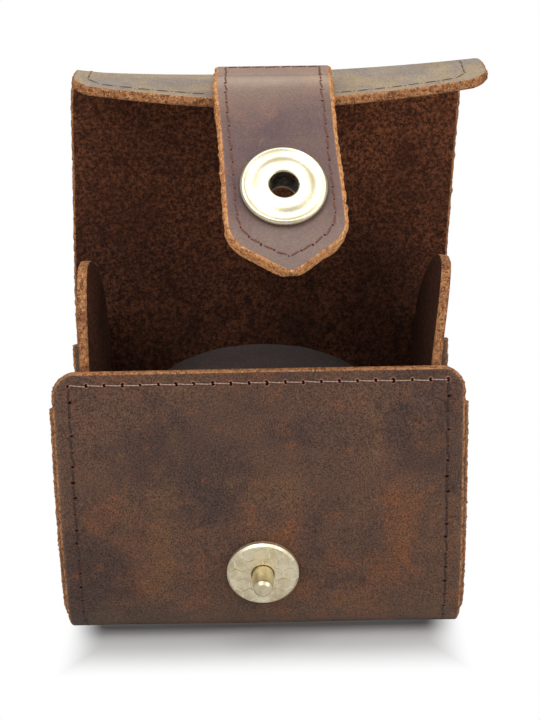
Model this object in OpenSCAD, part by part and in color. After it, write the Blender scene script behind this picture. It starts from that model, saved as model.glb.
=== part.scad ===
// Watch travel case: one wide strip of leather makes the front, base, back, lid and front flap.
// Two side gussets are sewn to its edges, a strap with a ring snap closes it, a cushion fills it.
// Millimetres. The case stands on its base, centred on x and y, front towards -y.
// The lid, strap and side ears are drawn closed, then swung open to the way they stand.

/* [Case] */
// Width of the leather strip, across the front
case_w = 90; // [80:1:110]
// Depth over the front and back walls
case_d = 54; // [50:1:62]
// Height of the front wall
case_h = 67.5; // [62:0.5:78]
// Thickness of the strip's leather
wall = 2.2; // [1.6:0.1:2.6]
// Radius of the front wall's top corners
top_corner_r = 5.5; // [2:0.5:9]
// Height at which the walls begin to curve under
curve_top_z = 44; // [38:1:50]
// Height at which the tight bottom corners begin
corner_top_z = 12; // [9:0.5:15]
// Lean of the walls where the bottom corners begin, in degrees
lower_lean = 14; // [8:1:18]

/* [Gussets] */
// Thickness of the gussets' leather
gusset_t = 2.1; // [1.4:0.1:2.4]
// Distance from the strip's side edge in to the gusset
gusset_in = 5.2; // [4.9:0.1:8]
// How far the gusset's turned-out flange stands past the strip's side edge
flange_out = 0.5; // [0:0.1:1]
// How far below the front wall's top the flanges end
flange_drop = 9; // [6:0.5:14]
// Depth of the ears' fold below the front wall's top
ear_fold_drop = 1.5; // [1:0.1:3]
// Height of the ears above their fold
ear_h = 23; // [12:0.5:24]
// Distance from the front wall's inner face back to the ears' front edge
ear_front = 1; // [0.6:0.1:4]
// Distance from the back wall's inner face forward to the ears' back end
ear_back = 2.6; // [2:0.1:6]
// Outward lean of the open left ear, in degrees
left_splay = 0; // [0:0.5:8]
// Outward lean of the open right ear, in degrees
right_splay = 5; // [0:0.5:8]

/* [Lid and flap] */
// Height of the lid's fold above the front wall's top
lid_rise = 3.6; // [3.6:0.1:6]
// Angle through which the lid swings from open to closed
lid_swing = 82; // [70:1:95]
// Sideways run of the lid from its fold to its bend, which aren't quite square to its sides
lid_run = 2.5; // [0:0.1:3]
// Gap between the closed flap and the front wall
flap_stand = 2.9; // [2.8:0.1:3.6]
// Inner radius of the bend between lid and flap
flap_bend_r = 8.6; // [6:0.1:9]
// Outward lean of the closed flap, in degrees
flap_lean = 0; // [0:0.5:4]
// Sideways run of the bend from the lid to the flap
bend_run = 2.7; // [0:0.1:4]
// Radius of the flap's front corners
flap_corner_r = 5.5; // [2:0.5:9]

/* [Strap] */
// Width of the strap
strap_w = 25.5; // [21:0.5:32]
// Thickness of the strap's outer leather
strap_t = 2.2; // [1.4:0.1:2.4]
// Thickness of the strap's lining leather
lining_t = 2.2; // [1.6:0.1:2.4]
// Length of the strap's soft bend at the flap's edge
bend_l = 5; // [4:0.5:7]
// Distance from the soft bend down to the snap's centre
snap_drop = 19.7; // [18:0.1:23]
// Distance from the snap's centre to the strap's tip
tip_l = 20.5; // [18:0.5:26]
// Length of the pointed end
point_l = 8.5; // [5:0.5:14]
// Length of the strap's upper end, which is sewn down on the flap
anchor_l = 10.7; // [8:0.1:14]
// Turn that presses the strap on to the stud, in degrees
press_turn = 22; // [20:1:24]
// Share of the lid's swing by which the strap straightens
hang_ratio = 0.66; // [0.6:0.01:0.66]
// Tilt of the strap's bend line, by which the open strap hangs askew, in degrees
askew = 15; // [0:0.5:15]
// Sideways place of the strap's upper end
strap_x = 4.4; // [0:0.1:4.4]

/* [Snap] */
// Sideways place of the stud
snap_x = 0.1; // [-2:0.1:2]
// Height of the stud on the front wall
stud_z = 19.6; // [17.5:0.1:22]
// Diameter of the stud's cap
cap_d = 16.2; // [14:0.1:18]
// Thickness of the stud's cap
cap_h = 2; // [1.6:0.1:2.4]
// Diameter of the stud's pin
pin_d = 4.8; // [4:0.1:5]
// Diameter of the pin at its tip
pin_tip_d = 4.2; // [3.6:0.1:4.4]
// Width of one cell of the cap's honeycomb
cell = 3.1; // [2.4:0.1:5]
// Width and depth of the honeycomb's engraved lines
groove = 0.25; // [0.15:0.05:0.4]
// Outer diameter of the socket's face ring
ring_d = 18.5; // [17:0.1:20]
// Thickness of the socket's face ring
ring_h = 1.8; // [1.4:0.1:2.2]
// Bore of the socket
bore_d = 6; // [5.8:0.1:6.6]
// Outer diameter of the socket's barrel
barrel_d = 8; // [7.4:0.1:9]
// Outer diameter of the ring magnet
magnet_d = 14; // [12:0.5:16]
// Thickness of the ring magnet
magnet_h = 1.2; // [0.8:0.1:1.3]
// Diameter of the socket's back plate
plate_d = 15; // [13:0.5:18]
// Thickness of the socket's back plate
plate_h = 0.8; // [0.6:0.1:1]

/* [Sewing] */
// Distance from one stitch to the next
stitch_pitch = 3.9; // [3:0.1:5]
// Length of a stitch that shows
stitch_l = 2.7; // [1.5:0.1:2.8]
// Width of the thread
thread_w = 0.7; // [0.4:0.1:1]
// Height of the thread over the leather
thread_h = 0.35; // [0.2:0.05:0.6]
// Distance of the strip's stitches from its edges
seam_in = 3.8; // [3:0.1:4.2]
// Distance of the front wall's upper stitches from its top
hem_in = 2.7; // [2:0.1:5]
// Distance of the strap's stitches from its edges
strap_seam_in = 2.7; // [2:0.1:4]
// Distance from one of the strap's stitches to the next
strap_pitch = 3; // [2.6:0.1:4]
// Length of one of the strap's stitches
strap_stitch_l = 2; // [1.5:0.1:2.2]

/* [Cushion] */
// Gap between the cushion and each side panel
cushion_gap = 2.2; // [1.6:0.1:7]
// Distance from the front wall's outer face back to the cushion
cushion_in = 6.5; // [6.5:0.1:10]
// Height of the cushion
cushion_h = 59; // [44:0.5:60]
// Thickness of the cushion's suede
suede_t = 1.2; // [0.8:0.1:1.6]
// How far the cushion's ends are drawn in
draw_in = 4; // [2:0.5:6]
// Squareness of the cushion's oval, 2 for an ellipse
oval = 2.15; // [2:0.05:3]

/* [Hidden] */

GRAIN = "#4f3a2c";
SUEDE = "#4a2c20";
EDGE = "#a8683c";
THREAD = "#8a6a4c";
BRASS = "#c9b583";
STEEL = "#8d8a84";
NAP = "#322a2a";
FOAM = "#d8cfae";

// Clearances: sewn layers, loose soft pieces, folds, and turned metal pieces
sewn = 0.05;
loose = 0.3;
fold_gap = 0.3;
turned = 0.1;
// Overlap of joined shapes, and how far a cut runs past what it cuts
lap = 0.01;
past = 1;
// Sides of round pieces, and the step of an outline's arcs in degrees
FINE = 64;
FINEST = 96;
ARC_STEP = 4;

// Where the walls run. Outlines are drawn with the front wall's face at 0.
half_w = case_w / 2;
y0 = -case_d / 2;
lean_r = (curve_top_z - corner_top_z) / sin(lower_lean);
lean_y = lean_r * (1 - cos(lower_lean));
corner_r = corner_top_z / (1 - sin(lower_lean));
corner_y = lean_y + corner_r * cos(lower_lean);

// The lid's fold, and the bend that leads to its flap, drawn closed
fold_y = case_d - wall / 2;
fold_z = case_h + lid_rise;
bend_z = fold_z - wall / 2 - flap_bend_r;
bend_y = flap_bend_r * cos(flap_lean) - flap_stand;
flap_out_r = flap_bend_r + wall;

// The stud stands square on the curved wall
stud_lean = asin((curve_top_z - stud_z) / lean_r);
stud_y = lean_r * (1 - cos(stud_lean));
shank_d = 3.6;
washer_d = 10;
washer_h = 0.7;
head_h = 0.6;
// The washer is flat and the wall behind it curved
washer_bow = washer_d * washer_d / 8 / (lean_r - wall) + sewn;
cap_rim = 0.5;
pin_step = 3;
// How far the pin ends below the socket ring's face, which lets the loose strap pass its tip
pin_below = 1.3;

// The strap, closed and pressed on: its middle plane in front of the wall, along the stud
strap_off = cap_h + loose + plate_h + lining_t;
pin_l = loose + plate_h + lining_t + strap_t + ring_h - pin_below;
tongue_y = stud_y - strap_off * cos(stud_lean);
tongue_z = stud_z - strap_off * sin(stud_lean);
// Its two bend lines, and its slant from its upper end to the stud
up_l = snap_drop + bend_l * cos(press_turn);
slant = asin((strap_x - snap_x) / up_l);
press_x = snap_x + snap_drop * sin(slant);
press_y = tongue_y - snap_drop * cos(slant) * sin(stud_lean);
press_z = tongue_z + snap_drop * cos(slant) * cos(stud_lean);
hang_y = tongue_y - up_l * cos(slant) * sin(stud_lean) + bend_l * sin(press_turn) * cos(stud_lean);
hang_z = tongue_z + up_l * cos(slant) * cos(stud_lean) + bend_l * sin(press_turn) * sin(stud_lean);
hang_turn = hang_ratio * lid_swing;
// The tilted upper bend line's direction, square to the strap halfway through its turn
mid_turn = stud_lean - press_turn + hang_turn / 2;
hang_axis = [cos(askew), -sin(askew) * cos(mid_turn), -sin(askew) * sin(mid_turn)];
press_axis = [cos(slant), sin(slant) * sin(stud_lean), -sin(slant) * cos(stud_lean)];

// The flap and the strap's upper end stop short of that bend line
hang_down = (bend_z - hang_z) * cos(flap_lean) + (bend_y - hang_y) * sin(flap_lean);
flap_l = hang_down - strap_w / 2 * sin(askew) * sin(mid_turn) - strap_t / 2 - fold_gap;

ear_x = half_w - gusset_in - gusset_t / 2;
ear_z = case_h - ear_fold_drop;
ear_y1 = wall + ear_front;
ear_y2 = case_d - wall - ear_back;

// The strap's point: how far its shoulder is rounded above and below, the place between its two
// curves, the place that leads the second one in, and how far its last stitches stay from the tip
round_above = 3;
round_below = 1;
knee_share = 0.6;
knee_up = 0.5;
tip_share = 0.2;
tip_up = 0.4;
tip_seam_in = 3.8;

// The ears' outline: the share of their length at which they are highest, and the powers of the
// curves that lead up to it and down from it
crown_at = 0.2;
rise_power = 3;
fall_power = 1.5;
fall_round = 0.69;

// The cushion: its width and length, the powers by which its ends are drawn in, its sides and its rings
cushion_w = 2 * (half_w - gusset_in - gusset_t - cushion_gap);
cushion_l = case_d - 2 * cushion_in;
draw_power = 3;
draw_round = 0.6;
SIDES = 36;
RINGS = 10;

// ---- Helpers ----

// Points of an arc from one angle to another, about a centre
function arc(cy, cz, r, a1, a2) =
    let (n = max(2, ceil(abs(a2 - a1) / ARC_STEP)))
    [for (i = [0:n]) let (a = a1 + (a2 - a1) * i / n) [cy + r * cos(a), cz + r * sin(a)]];

// The same points in the other order
function backwards(p) = [for (i = [len(p) - 1:-1:0]) p[i]];

// Outline of the walls, set in by a depth: front top, down, along the base, up to the back's top
function walls(depth, front_z, back_z) = concat(
    [[depth, front_z]],
    arc(lean_r, curve_top_z, lean_r - depth, 180, 180 + lower_lean),
    arc(corner_y, corner_r, corner_r - depth, 180 + lower_lean, 270),
    arc(case_d - corner_y, corner_r, corner_r - depth, 270, 360 - lower_lean),
    arc(case_d - lean_r, curve_top_z, lean_r - depth, 360 - lower_lean, 360),
    [[case_d - depth, back_z]]);

// Length along a line of points up to one of them
function run_to(p, i) = i == 0 ? 0 : run_to(p, i - 1) + norm(p[i] - p[i - 1]);

// A place at a distance along a line of points: its point and its direction
function place_at(p, d, i = 0) =
    let (l = norm(p[i + 1] - p[i]))
    (d <= l || i == len(p) - 2)
        ? [p[i] + (p[i + 1] - p[i]) * d / l, atan2(p[i + 1][1] - p[i][1], p[i + 1][0] - p[i][0])]
        : place_at(p, d - l, i + 1);

// Draws a side outline along the case's width
module across(x1, x2) {
    translate([x1, y0, 0]) rotate([90, 0, 90]) linear_extrude(x2 - x1) children();
}

// Turns what it holds about a line through a point
module turn(x, y, z, angle, axis) {
    translate([x, y0 + y, z]) rotate(a = angle, v = axis) translate([-x, -y0 - y, -z]) children();
}

// Swings the closed lid open
module opened() {
    turn(0, fold_y, fold_z, -lid_swing, [1, 0, 0]) children();
}

// Swings the lid open with the strap's soft bend
module bend_opened() {
    opened() turn(strap_x, hang_y, hang_z, hang_turn, hang_axis) children();
}

// Swings the lid open and lifts the strap off the stud
module strap_opened() {
    bend_opened() turn(press_x, press_y, press_z, -press_turn, press_axis) children();
}

// The strap's own frame: z out through its face, y up along it, the snap's axis in the middle
module strap_frame() {
    strap_opened() translate([snap_x, y0 + tongue_y, tongue_z])
        rotate([90 + stud_lean, 0, 0]) rotate([0, 0, -slant]) children();
}

// A round bar along the strap's upper bend line
module bend_bar(r, length) {
    translate([strap_x, y0 + hang_y, hang_z]) rotate([mid_turn, 0, 0]) rotate([0, 0, -askew])
        rotate([0, 90, 0]) cylinder(r = r, h = length, center = true, $fn = 32);
}

// The stud's frame: z out of the front wall
module stud_frame() {
    translate([snap_x, y0 + stud_y, stud_z]) rotate([90 + stud_lean, 0, 0]) children();
}

// The flap's frame: z out through its face, y up along it, starting at its front edge
module flap_frame() {
    translate([0, y0 + bend_y, bend_z]) rotate([90 - flap_lean, 0, 0]) translate([0, -flap_l, flap_out_r])
        children();
}

// A row of stitches on a side outline, with none underneath, where the case stands
module stitch_row(path, length, pitch, stitch, x) {
    count = floor((length - stitch) / pitch);
    first = (length - count * pitch) / 2;
    for (i = [0:count]) {
        place = place_at(path, first + i * pitch);
        if (place[0][1] > 2 * (thread_h + sewn))
            translate([x, y0 + place[0][0], place[0][1]]) rotate([place[1], 0, 0])
                translate([-thread_w / 2, -stitch / 2, -thread_h - sewn]) cube([thread_w, stitch, thread_h]);
    }
}

// A row of stitches between two points of a plane, on its upper side
module stitch_line(a, b, pitch, stitch) {
    length = norm(b - a);
    count = floor((length - stitch) / pitch);
    first = (length - count * pitch) / 2;
    turned_by = atan2(b[1] - a[1], b[0] - a[0]);
    for (i = [0:count])
        translate([a[0], a[1], sewn]) rotate([0, 0, turned_by])
            translate([first + i * pitch - stitch / 2, -thread_w / 2, 0]) cube([stitch, thread_w, thread_h]);
}

// ---- Case ----

module wrap_body() {
    back_z = fold_z - wall / 2 - fold_gap;
    color(GRAIN) difference() {
        across(-half_w, half_w)
            polygon(concat(walls(0, case_h, back_z), backwards(walls(wall, case_h, back_z))));
        for (side = [-1, 1])
            translate([side * (half_w - top_corner_r), y0, case_h - top_corner_r]) top_corner(side);
        stud_frame() cylinder(d = shank_d + 2 * turned, h = 4 * wall, center = true, $fn = FINE);
    }
}

// What is cut away to round one of the front wall's top corners
module top_corner(side) {
    difference() {
        translate([side > 0 ? 0 : -top_corner_r - past, -past, 0])
            cube([top_corner_r + past, wall + 2 * past, top_corner_r + past]);
        translate([0, -2 * past, 0]) rotate([-90, 0, 0])
            cylinder(r = top_corner_r, h = wall + 4 * past, $fn = FINE);
    }
}

// Side panel with its flanges turned out to the strip's edge
module gusset(side) {
    in1 = wall + sewn;
    in2 = in1 + gusset_t;
    plate_top = ear_z - gusset_t / 2 - fold_gap;
    flange_top = case_h - flange_drop;
    outer = walls(in1, flange_top, flange_top);
    inner = walls(in2, flange_top, flange_top);
    color(SUEDE) on_side(side) union() {
        across(half_w - gusset_in - gusset_t, half_w - gusset_in)
            polygon(walls(in1, plate_top, plate_top));
        across(half_w - gusset_in - lap, half_w + flange_out)
            polygon(concat(outer, backwards(inner)));
    }
}

// Puts what is drawn on the right on either side
module on_side(side) {
    mirror([side > 0 ? 0 : 1, 0, 0]) children();
}

module left_gusset() {
    gusset(-1);
}

module right_gusset() {
    gusset(1);
}

// Stitches along the top of the front wall
module hem_thread() {
    row = half_w - seam_in - stitch_pitch / 2;
    color(THREAD) translate([0, y0, case_h - hem_in]) rotate([90, 0, 0])
        stitch_line([-row, 0], [row, 0], stitch_pitch, stitch_l);
}

// Stitches that sew a gusset's flange to the strip
module seam_thread(side) {
    path = walls(0, case_h - hem_in - stitch_pitch, case_h);
    color(THREAD) stitch_row(path, run_to(path, len(path) - 1), stitch_pitch, stitch_l,
        side * (half_w - seam_in));
}

module left_seam_thread() {
    seam_thread(-1);
}

module right_seam_thread() {
    seam_thread(1);
}

// ---- Stud ----

// Engraved lines of a honeycomb, each line cut once
module honeycomb(r) {
    reach = ceil(r / cell);
    side_l = cell / sqrt(3);
    for (i = [-reach:reach], j = [-reach:reach]) {
        cx = cell * (i + j / 2);
        cy = cell * j * sqrt(3) / 2;
        if (norm([cx, cy]) < r - cell / 3)
            for (a = [0, 60, 120])
                translate([cx, cy]) rotate(a) translate([cell / 2 - groove / 2, -side_l / 2])
                    square([groove, side_l]);
    }
}

module stud_cap() {
    r = cap_d / 2;
    hole_r = pin_d / 2 + turned;
    color(BRASS) stud_frame() difference() {
        rotate_extrude($fn = FINEST)
            polygon([
                [hole_r, sewn], [r - cap_rim, sewn], [r, sewn + cap_rim], [r, cap_h - cap_rim],
                [r - cap_rim, cap_h], [hole_r + groove, cap_h], [hole_r, cap_h - groove]
            ]);
        translate([0, 0, cap_h - groove]) linear_extrude(past) difference() {
            intersection() {
                honeycomb(r);
                circle(r = r - cap_rim, $fn = FINEST);
            }
            circle(r = hole_r + cap_rim, $fn = FINE);
        }
    }
}

// Pin with its shank, which is riveted over the washer inside the wall
module stud_pin() {
    tip = cap_h + pin_l;
    back = -wall - washer_bow - washer_h;
    head_r = shank_d / 2 + 0.7;
    tip_r = pin_tip_d / 2;
    tip_round = 0.6;
    color(BRASS) stud_frame() rotate_extrude($fn = FINEST)
        polygon([
            [0, back - head_h], [head_r - head_h / 2, back - head_h], [head_r, back - sewn],
            [shank_d / 2, back - sewn], [shank_d / 2, sewn], [pin_d / 2, sewn], [pin_d / 2, cap_h + pin_step],
            [tip_r, tip - tip_round], [tip_r - tip_round, tip], [0, tip]
        ]);
}

module stud_washer() {
    color(STEEL) stud_frame() translate([0, 0, -wall - washer_bow - washer_h]) difference() {
        cylinder(d = washer_d, h = washer_h, $fn = FINE);
        translate([0, 0, -past]) cylinder(d = shank_d + 2 * turned, h = washer_h + 2 * past, $fn = FINE);
    }
}

// ---- Lid and flap ----

// Side outline of one face of the lid's closed bend, from its top down the flap
function round_bend(r) = concat(
    arc(bend_y, bend_z, r, 90, 180 - flap_lean),
    [[bend_y, bend_z] + r * [-cos(flap_lean), sin(flap_lean)] - flap_l * [sin(flap_lean), cos(flap_lean)]]);

// Plan of the closed lid, whose sides run a little to one side
module lid_plan() {
    polygon([
        [-half_w, y0 + fold_y], [half_w, y0 + fold_y],
        [half_w + lid_run, y0 + bend_y], [-half_w + lid_run, y0 + bend_y]
    ]);
}

// Front view of the closed bend, which runs further to that side, and of the flap below it
module flap_front() {
    low = bend_z - flap_l * cos(flap_lean) + flap_out_r * sin(flap_lean);
    top = fold_z + wall / 2;
    left = -half_w + lid_run;
    right = half_w + lid_run;
    r = flap_corner_r;
    polygon(concat(
        [[left, top + lap], [right, top + lap], [right, top], [right + bend_run, bend_z]],
        backwards(arc(right + bend_run - r, low + r, r, -90, 0)),
        backwards(arc(left + bend_run + r, low + r, r, 180, 270)),
        [[left + bend_run, bend_z], [left, top]]));
}

module lid_flap() {
    color(GRAIN) opened() union() {
        translate([0, 0, fold_z - wall / 2]) linear_extrude(wall) lid_plan();
        translate([0, y0 + fold_y, fold_z]) rotate([0, 90, 0])
            cylinder(d = wall, h = case_w, center = true, $fn = FINE);
        intersection() {
            across(-case_w, case_w)
                polygon(concat([[bend_y + lap, bend_z + flap_bend_r]], round_bend(flap_bend_r),
                    backwards(round_bend(flap_out_r)), [[bend_y + lap, bend_z + flap_out_r]]));
            translate([0, y0 + case_d, 0]) rotate([90, 0, 0]) linear_extrude(2 * case_d) flap_front();
        }
    }
}

// Stitches along the lid's side edges and round the flap
module lid_thread() {
    row = half_w - seam_in;
    strap_side = strap_w / 2 + strap_pitch;
    color(THREAD) opened() {
        translate([0, y0, fold_z + wall / 2])
            for (side = [-1, 1])
                stitch_line([side * row + lid_run, bend_y], [side * row, fold_y - seam_in],
                    stitch_pitch, stitch_l);
        flap_frame()
            for (side = [-1, 1]) {
                x = side * row + lid_run + bend_run;
                stitch_line([x, seam_in + stitch_pitch / 2], [x, flap_l], stitch_pitch, stitch_l);
                stitch_line([x, seam_in], [strap_x + side * strap_side, seam_in], stitch_pitch, stitch_l);
            }
    }
}

// ---- Strap ----

// The strap's upper end, both layers, sewn down on the flap
module strap_anchor() {
    color(GRAIN) opened() flap_frame() translate([strap_x - strap_w / 2, 0, sewn])
        cube([strap_w, anchor_l, lining_t + strap_t]);
}

module anchor_thread() {
    row = strap_w / 2 - strap_seam_in;
    color(THREAD) opened() flap_frame() translate([strap_x, 0, lining_t + strap_t + sewn])
        for (side = [-1, 1])
            stitch_line([side * row, strap_pitch / 2], [side * row, anchor_l], strap_pitch, strap_stitch_l);
}

// The strap's soft bend, between its two bend lines
module strap_bend() {
    r = strap_t / 2;
    color(GRAIN) bend_opened() hull() {
        bend_bar(r, strap_w);
        translate([press_x, y0 + press_y, press_z]) rotate([stud_lean, 0, 0]) rotate([0, slant, 0])
            rotate([0, 90, 0]) cylinder(r = r, h = strap_w, center = true, $fn = 32);
    }
}

// One side of the strap's pointed end, from its side to its tip: a rounded shoulder, then a slow curve
function pointed(half, shoulder, tip) =
    let (
        a = [half, shoulder + round_above],
        b = [half, shoulder - round_below],
        c = [half * knee_share, (shoulder + tip) / 2 + knee_up],
        d = [half * tip_share, tip + tip_up],
        e = [0, tip],
        steps = 6
    )
    concat(
        [for (i = [0:steps]) let (u = i / steps) (1 - u) * (1 - u) * a + 2 * u * (1 - u) * b + u * u * c],
        [for (i = [1:steps]) let (u = i / steps) (1 - u) * (1 - u) * c + 2 * u * (1 - u) * d + u * u * e]);

// Outline of the strap below its bend: parallel sides and a pointed end
module strap_shape(top) {
    right = pointed(strap_w / 2, -tip_l + point_l, -tip_l);
    left = [for (p = backwards(right)) if (p[0] > 0) [-p[0], p[1]]];
    polygon(concat([[strap_w / 2, top]], right, left, [[-strap_w / 2, top]]));
}

module strap_outer() {
    color(GRAIN) strap_frame() difference() {
        linear_extrude(strap_t) strap_shape(snap_drop - strap_t / 2 - fold_gap);
        translate([0, 0, -past]) cylinder(d = barrel_d + 2 * turned, h = strap_t + 2 * past, $fn = FINE);
    }
}

module strap_lining() {
    color(SUEDE) strap_frame() translate([0, 0, -lining_t]) difference() {
        linear_extrude(lining_t - sewn) strap_shape(snap_drop - strap_t - fold_gap);
        translate([0, 0, -past]) cylinder(d = barrel_d + 2 * turned, h = lining_t + 2 * past, $fn = FINE);
        translate([0, 0, lining_t - sewn - magnet_h - turned])
            cylinder(d = magnet_d + 2 * turned, h = magnet_h + past, $fn = FINE);
    }
}

// Stitches down both sides of the strap and along its point
module strap_thread() {
    half = strap_w / 2 - strap_seam_in;
    knee = -tip_l + point_l;
    tip = -tip_l + tip_seam_in;
    color(THREAD) strap_frame() translate([0, 0, strap_t])
        for (side = [-1, 1]) {
            stitch_line([side * half, knee + strap_pitch], [side * half, snap_drop - strap_pitch],
                strap_pitch, strap_stitch_l);
            stitch_line([side * half, knee + strap_pitch / 2], [side * thread_w, tip],
                strap_pitch, strap_stitch_l);
        }
}

// ---- Socket ----

// Face ring: a rolled outer rim round a flat raised face
module socket_ring() {
    r = ring_d / 2;
    roll = 0.8;
    lip = 0.4;
    color(BRASS) strap_frame() translate([0, 0, strap_t + sewn]) difference() {
        rotate_extrude($fn = FINEST)
            polygon(concat(
                [[0, 0], [r - roll, 0]],
                arc(r - roll, roll, roll, -60, 90),
                [[r - 2 * roll, 2 * roll - lip / 2], [r - 2 * roll - lip, ring_h], [0, ring_h]]));
        translate([0, 0, -past]) cylinder(d = bore_d, h = ring_h + 2 * past, $fn = FINE);
        translate([0, 0, ring_h - lip]) rotate_extrude($fn = FINEST)
            polygon([[0, 0], [bore_d / 2, 0], [bore_d / 2 + lip + lap, lip + lap], [0, lip + lap]]);
    }
}

module socket_barrel() {
    length = lining_t + strap_t;
    color(STEEL) strap_frame() translate([0, 0, -lining_t]) difference() {
        cylinder(d = barrel_d, h = length, $fn = FINE);
        translate([0, 0, -past]) cylinder(d = bore_d, h = length + 2 * past, $fn = FINE);
    }
}

module socket_magnet() {
    color(STEEL) strap_frame() translate([0, 0, -sewn - magnet_h]) difference() {
        cylinder(d = magnet_d, h = magnet_h - turned, $fn = FINE);
        translate([0, 0, -past]) cylinder(d = barrel_d + 2 * turned, h = magnet_h + 2 * past, $fn = FINE);
    }
}

module socket_plate() {
    color(BRASS) strap_frame() translate([0, 0, -lining_t - plate_h]) difference() {
        cylinder(d = plate_d, h = plate_h - sewn, $fn = FINE);
        translate([0, 0, -past]) cylinder(d = bore_d, h = plate_h + 2 * past, $fn = FINE);
    }
}

// ---- Ears ----

// Height of an ear above its fold, at a share of its length from front to back
function ear_top(u) = u < crown_at
    ? ear_h * pow(1 - pow(1 - u / crown_at, rise_power), 1 / rise_power)
    : ear_h * pow(1 - pow((u - crown_at) / (1 - crown_at), fall_power), fall_round);

// The gusset's free upper end, which folds in under the lid like a dust flap
module ear(side, splay) {
    length = ear_y2 - ear_y1;
    shares = concat([0.002, 0.008, 0.02, 0.04, 0.07, 0.1, 0.14],
        [for (i = [0:14]) crown_at + (1 - crown_at) * i / 15], [0.975, 0.99, 0.997, 1]);
    color(SUEDE) on_side(side) translate([ear_x, y0 + ear_y1, ear_z]) rotate([0, splay, 0]) union() {
        translate([-gusset_t / 2, 0, 0]) rotate([90, 0, 90]) linear_extrude(gusset_t)
            polygon(concat([[0, 0]], [for (u = shares) [u * length, max(0, ear_top(u))]]));
        rotate([-90, 0, 0]) cylinder(d = gusset_t, h = length, $fn = FINE);
    }
}

module left_ear() {
    ear(-1, left_splay);
}

module right_ear() {
    ear(1, right_splay);
}

// ---- Cushion ----

// Height of the case's floor at a distance back from its front, with a gap over it
function floor_z(y, gap) =
    let (r = corner_r - wall - gap, d = max(corner_y - y, y - case_d + corner_y, 0))
    corner_r - sqrt(max(0, r * r - d * d));

// How far the cushion is drawn in, at a share of its length
function drawn(u) = draw_in * (1 - pow(1 - pow(abs(2 * u - 1), draw_power), draw_round));

// The cushion's oval ring at a share of its length, set in by a depth: it lies on the floor,
// with its crown above
function ring_at(u, depth) =
    let (
        y = cushion_in + u * cushion_l,
        low = floor_z(y, loose) + depth,
        top = wall + loose + cushion_h - drawn(u) - depth,
        w = cushion_w / 2 - drawn(u) - depth,
        h = (top - low) / 2
    )
    [for (k = [0:SIDES - 1]) let (c = cos(360 * k / SIDES), s = sin(360 * k / SIDES))
        [w * sign(c) * pow(abs(c), 2 / oval), y, low + h + h * sign(s) * pow(abs(s), 2 / oval)]];

// A closed form over rings of points
module loft(rings) {
    last = (len(rings) - 1) * SIDES;
    sides = [for (i = [0:len(rings) - 2], k = [0:SIDES - 1])
        let (a = i * SIDES + k, b = i * SIDES + (k + 1) % SIDES)
        each [[a, b, a + SIDES], [b, b + SIDES, a + SIDES]]];
    ends = [[for (k = [SIDES - 1:-1:0]) k], [for (k = [0:SIDES - 1]) last + k]];
    translate([0, y0, 0]) polyhedron([for (r = rings) each r], concat(sides, ends));
}

// Shares of the cushion's length, closer together towards its ends
function shares_from(first, last) =
    [for (i = [0:RINGS]) first + (last - first) * (1 - cos(180 * i / RINGS)) / 2];

function moved(ring, dy) = [for (p = ring) p + [0, dy, 0]];

// The band round the cushion, open at its two ends
module cushion_band() {
    inside = [for (u = shares_from(0, 1)) ring_at(u, suede_t)];
    color(NAP) difference() {
        loft([for (u = shares_from(0, 1)) ring_at(u, 0)]);
        loft(concat([moved(inside[0], -past)], inside, [moved(inside[RINGS], past)]));
    }
}

// A panel that closes one end of the band, sewn in at its edge
module cushion_end(u, y) {
    ring = ring_at(u, suede_t + sewn);
    color(NAP) translate([0, y0 + y + suede_t, 0]) rotate([90, 0, 0]) linear_extrude(suede_t)
        polygon([for (p = ring) [p[0], p[2]]]);
}

module cushion_front() {
    cushion_end(0, cushion_in);
}

module cushion_back() {
    cushion_end(1, case_d - cushion_in - suede_t);
}

module cushion_foam() {
    in = suede_t + sewn;
    color(FOAM) intersection() {
        loft([for (u = shares_from(0, 1)) ring_at(u, in)]);
        translate([-cushion_w / 2, y0 + cushion_in + in, 0])
            cube([cushion_w, cushion_l - 2 * in, case_h]);
    }
}

wrap_body();
left_gusset();
right_gusset();
hem_thread();
left_seam_thread();
right_seam_thread();
stud_cap();
stud_pin();
stud_washer();
lid_flap();
lid_thread();
strap_anchor();
anchor_thread();
strap_bend();
strap_outer();
strap_lining();
strap_thread();
socket_ring();
socket_barrel();
socket_magnet();
socket_plate();
left_ear();
right_ear();
cushion_band();
cushion_front();
cushion_back();
cushion_foam();
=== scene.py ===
import math

import bmesh
import bpy
import numpy as np
from mathutils import Matrix


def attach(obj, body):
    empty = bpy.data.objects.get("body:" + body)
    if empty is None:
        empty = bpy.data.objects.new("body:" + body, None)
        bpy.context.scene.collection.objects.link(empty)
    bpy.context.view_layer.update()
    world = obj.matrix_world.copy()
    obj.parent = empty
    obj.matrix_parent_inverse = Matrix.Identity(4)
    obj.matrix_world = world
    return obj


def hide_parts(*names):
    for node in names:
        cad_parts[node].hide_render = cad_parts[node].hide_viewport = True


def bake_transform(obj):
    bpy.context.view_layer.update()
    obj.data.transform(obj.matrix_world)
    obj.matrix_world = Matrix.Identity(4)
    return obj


bl_info = {
    "name": "Watch travel case",
    "version": (1, 0, 0),
    "blender": (4, 5, 0),
    "location": "View3D > Sidebar > Watch case",
    "description": "Dresses the watch travel case in leather, suede, thread and brass",
    "category": "Object",
}

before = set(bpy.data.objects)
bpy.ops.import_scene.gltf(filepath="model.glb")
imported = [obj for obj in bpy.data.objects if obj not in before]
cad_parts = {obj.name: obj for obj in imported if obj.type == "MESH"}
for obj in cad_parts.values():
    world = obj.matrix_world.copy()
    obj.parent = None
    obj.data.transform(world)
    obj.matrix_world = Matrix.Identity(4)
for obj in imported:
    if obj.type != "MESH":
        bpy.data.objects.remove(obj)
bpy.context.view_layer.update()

# ---- The case's sizes in millimetres and degrees, as in the part's source ----

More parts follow.
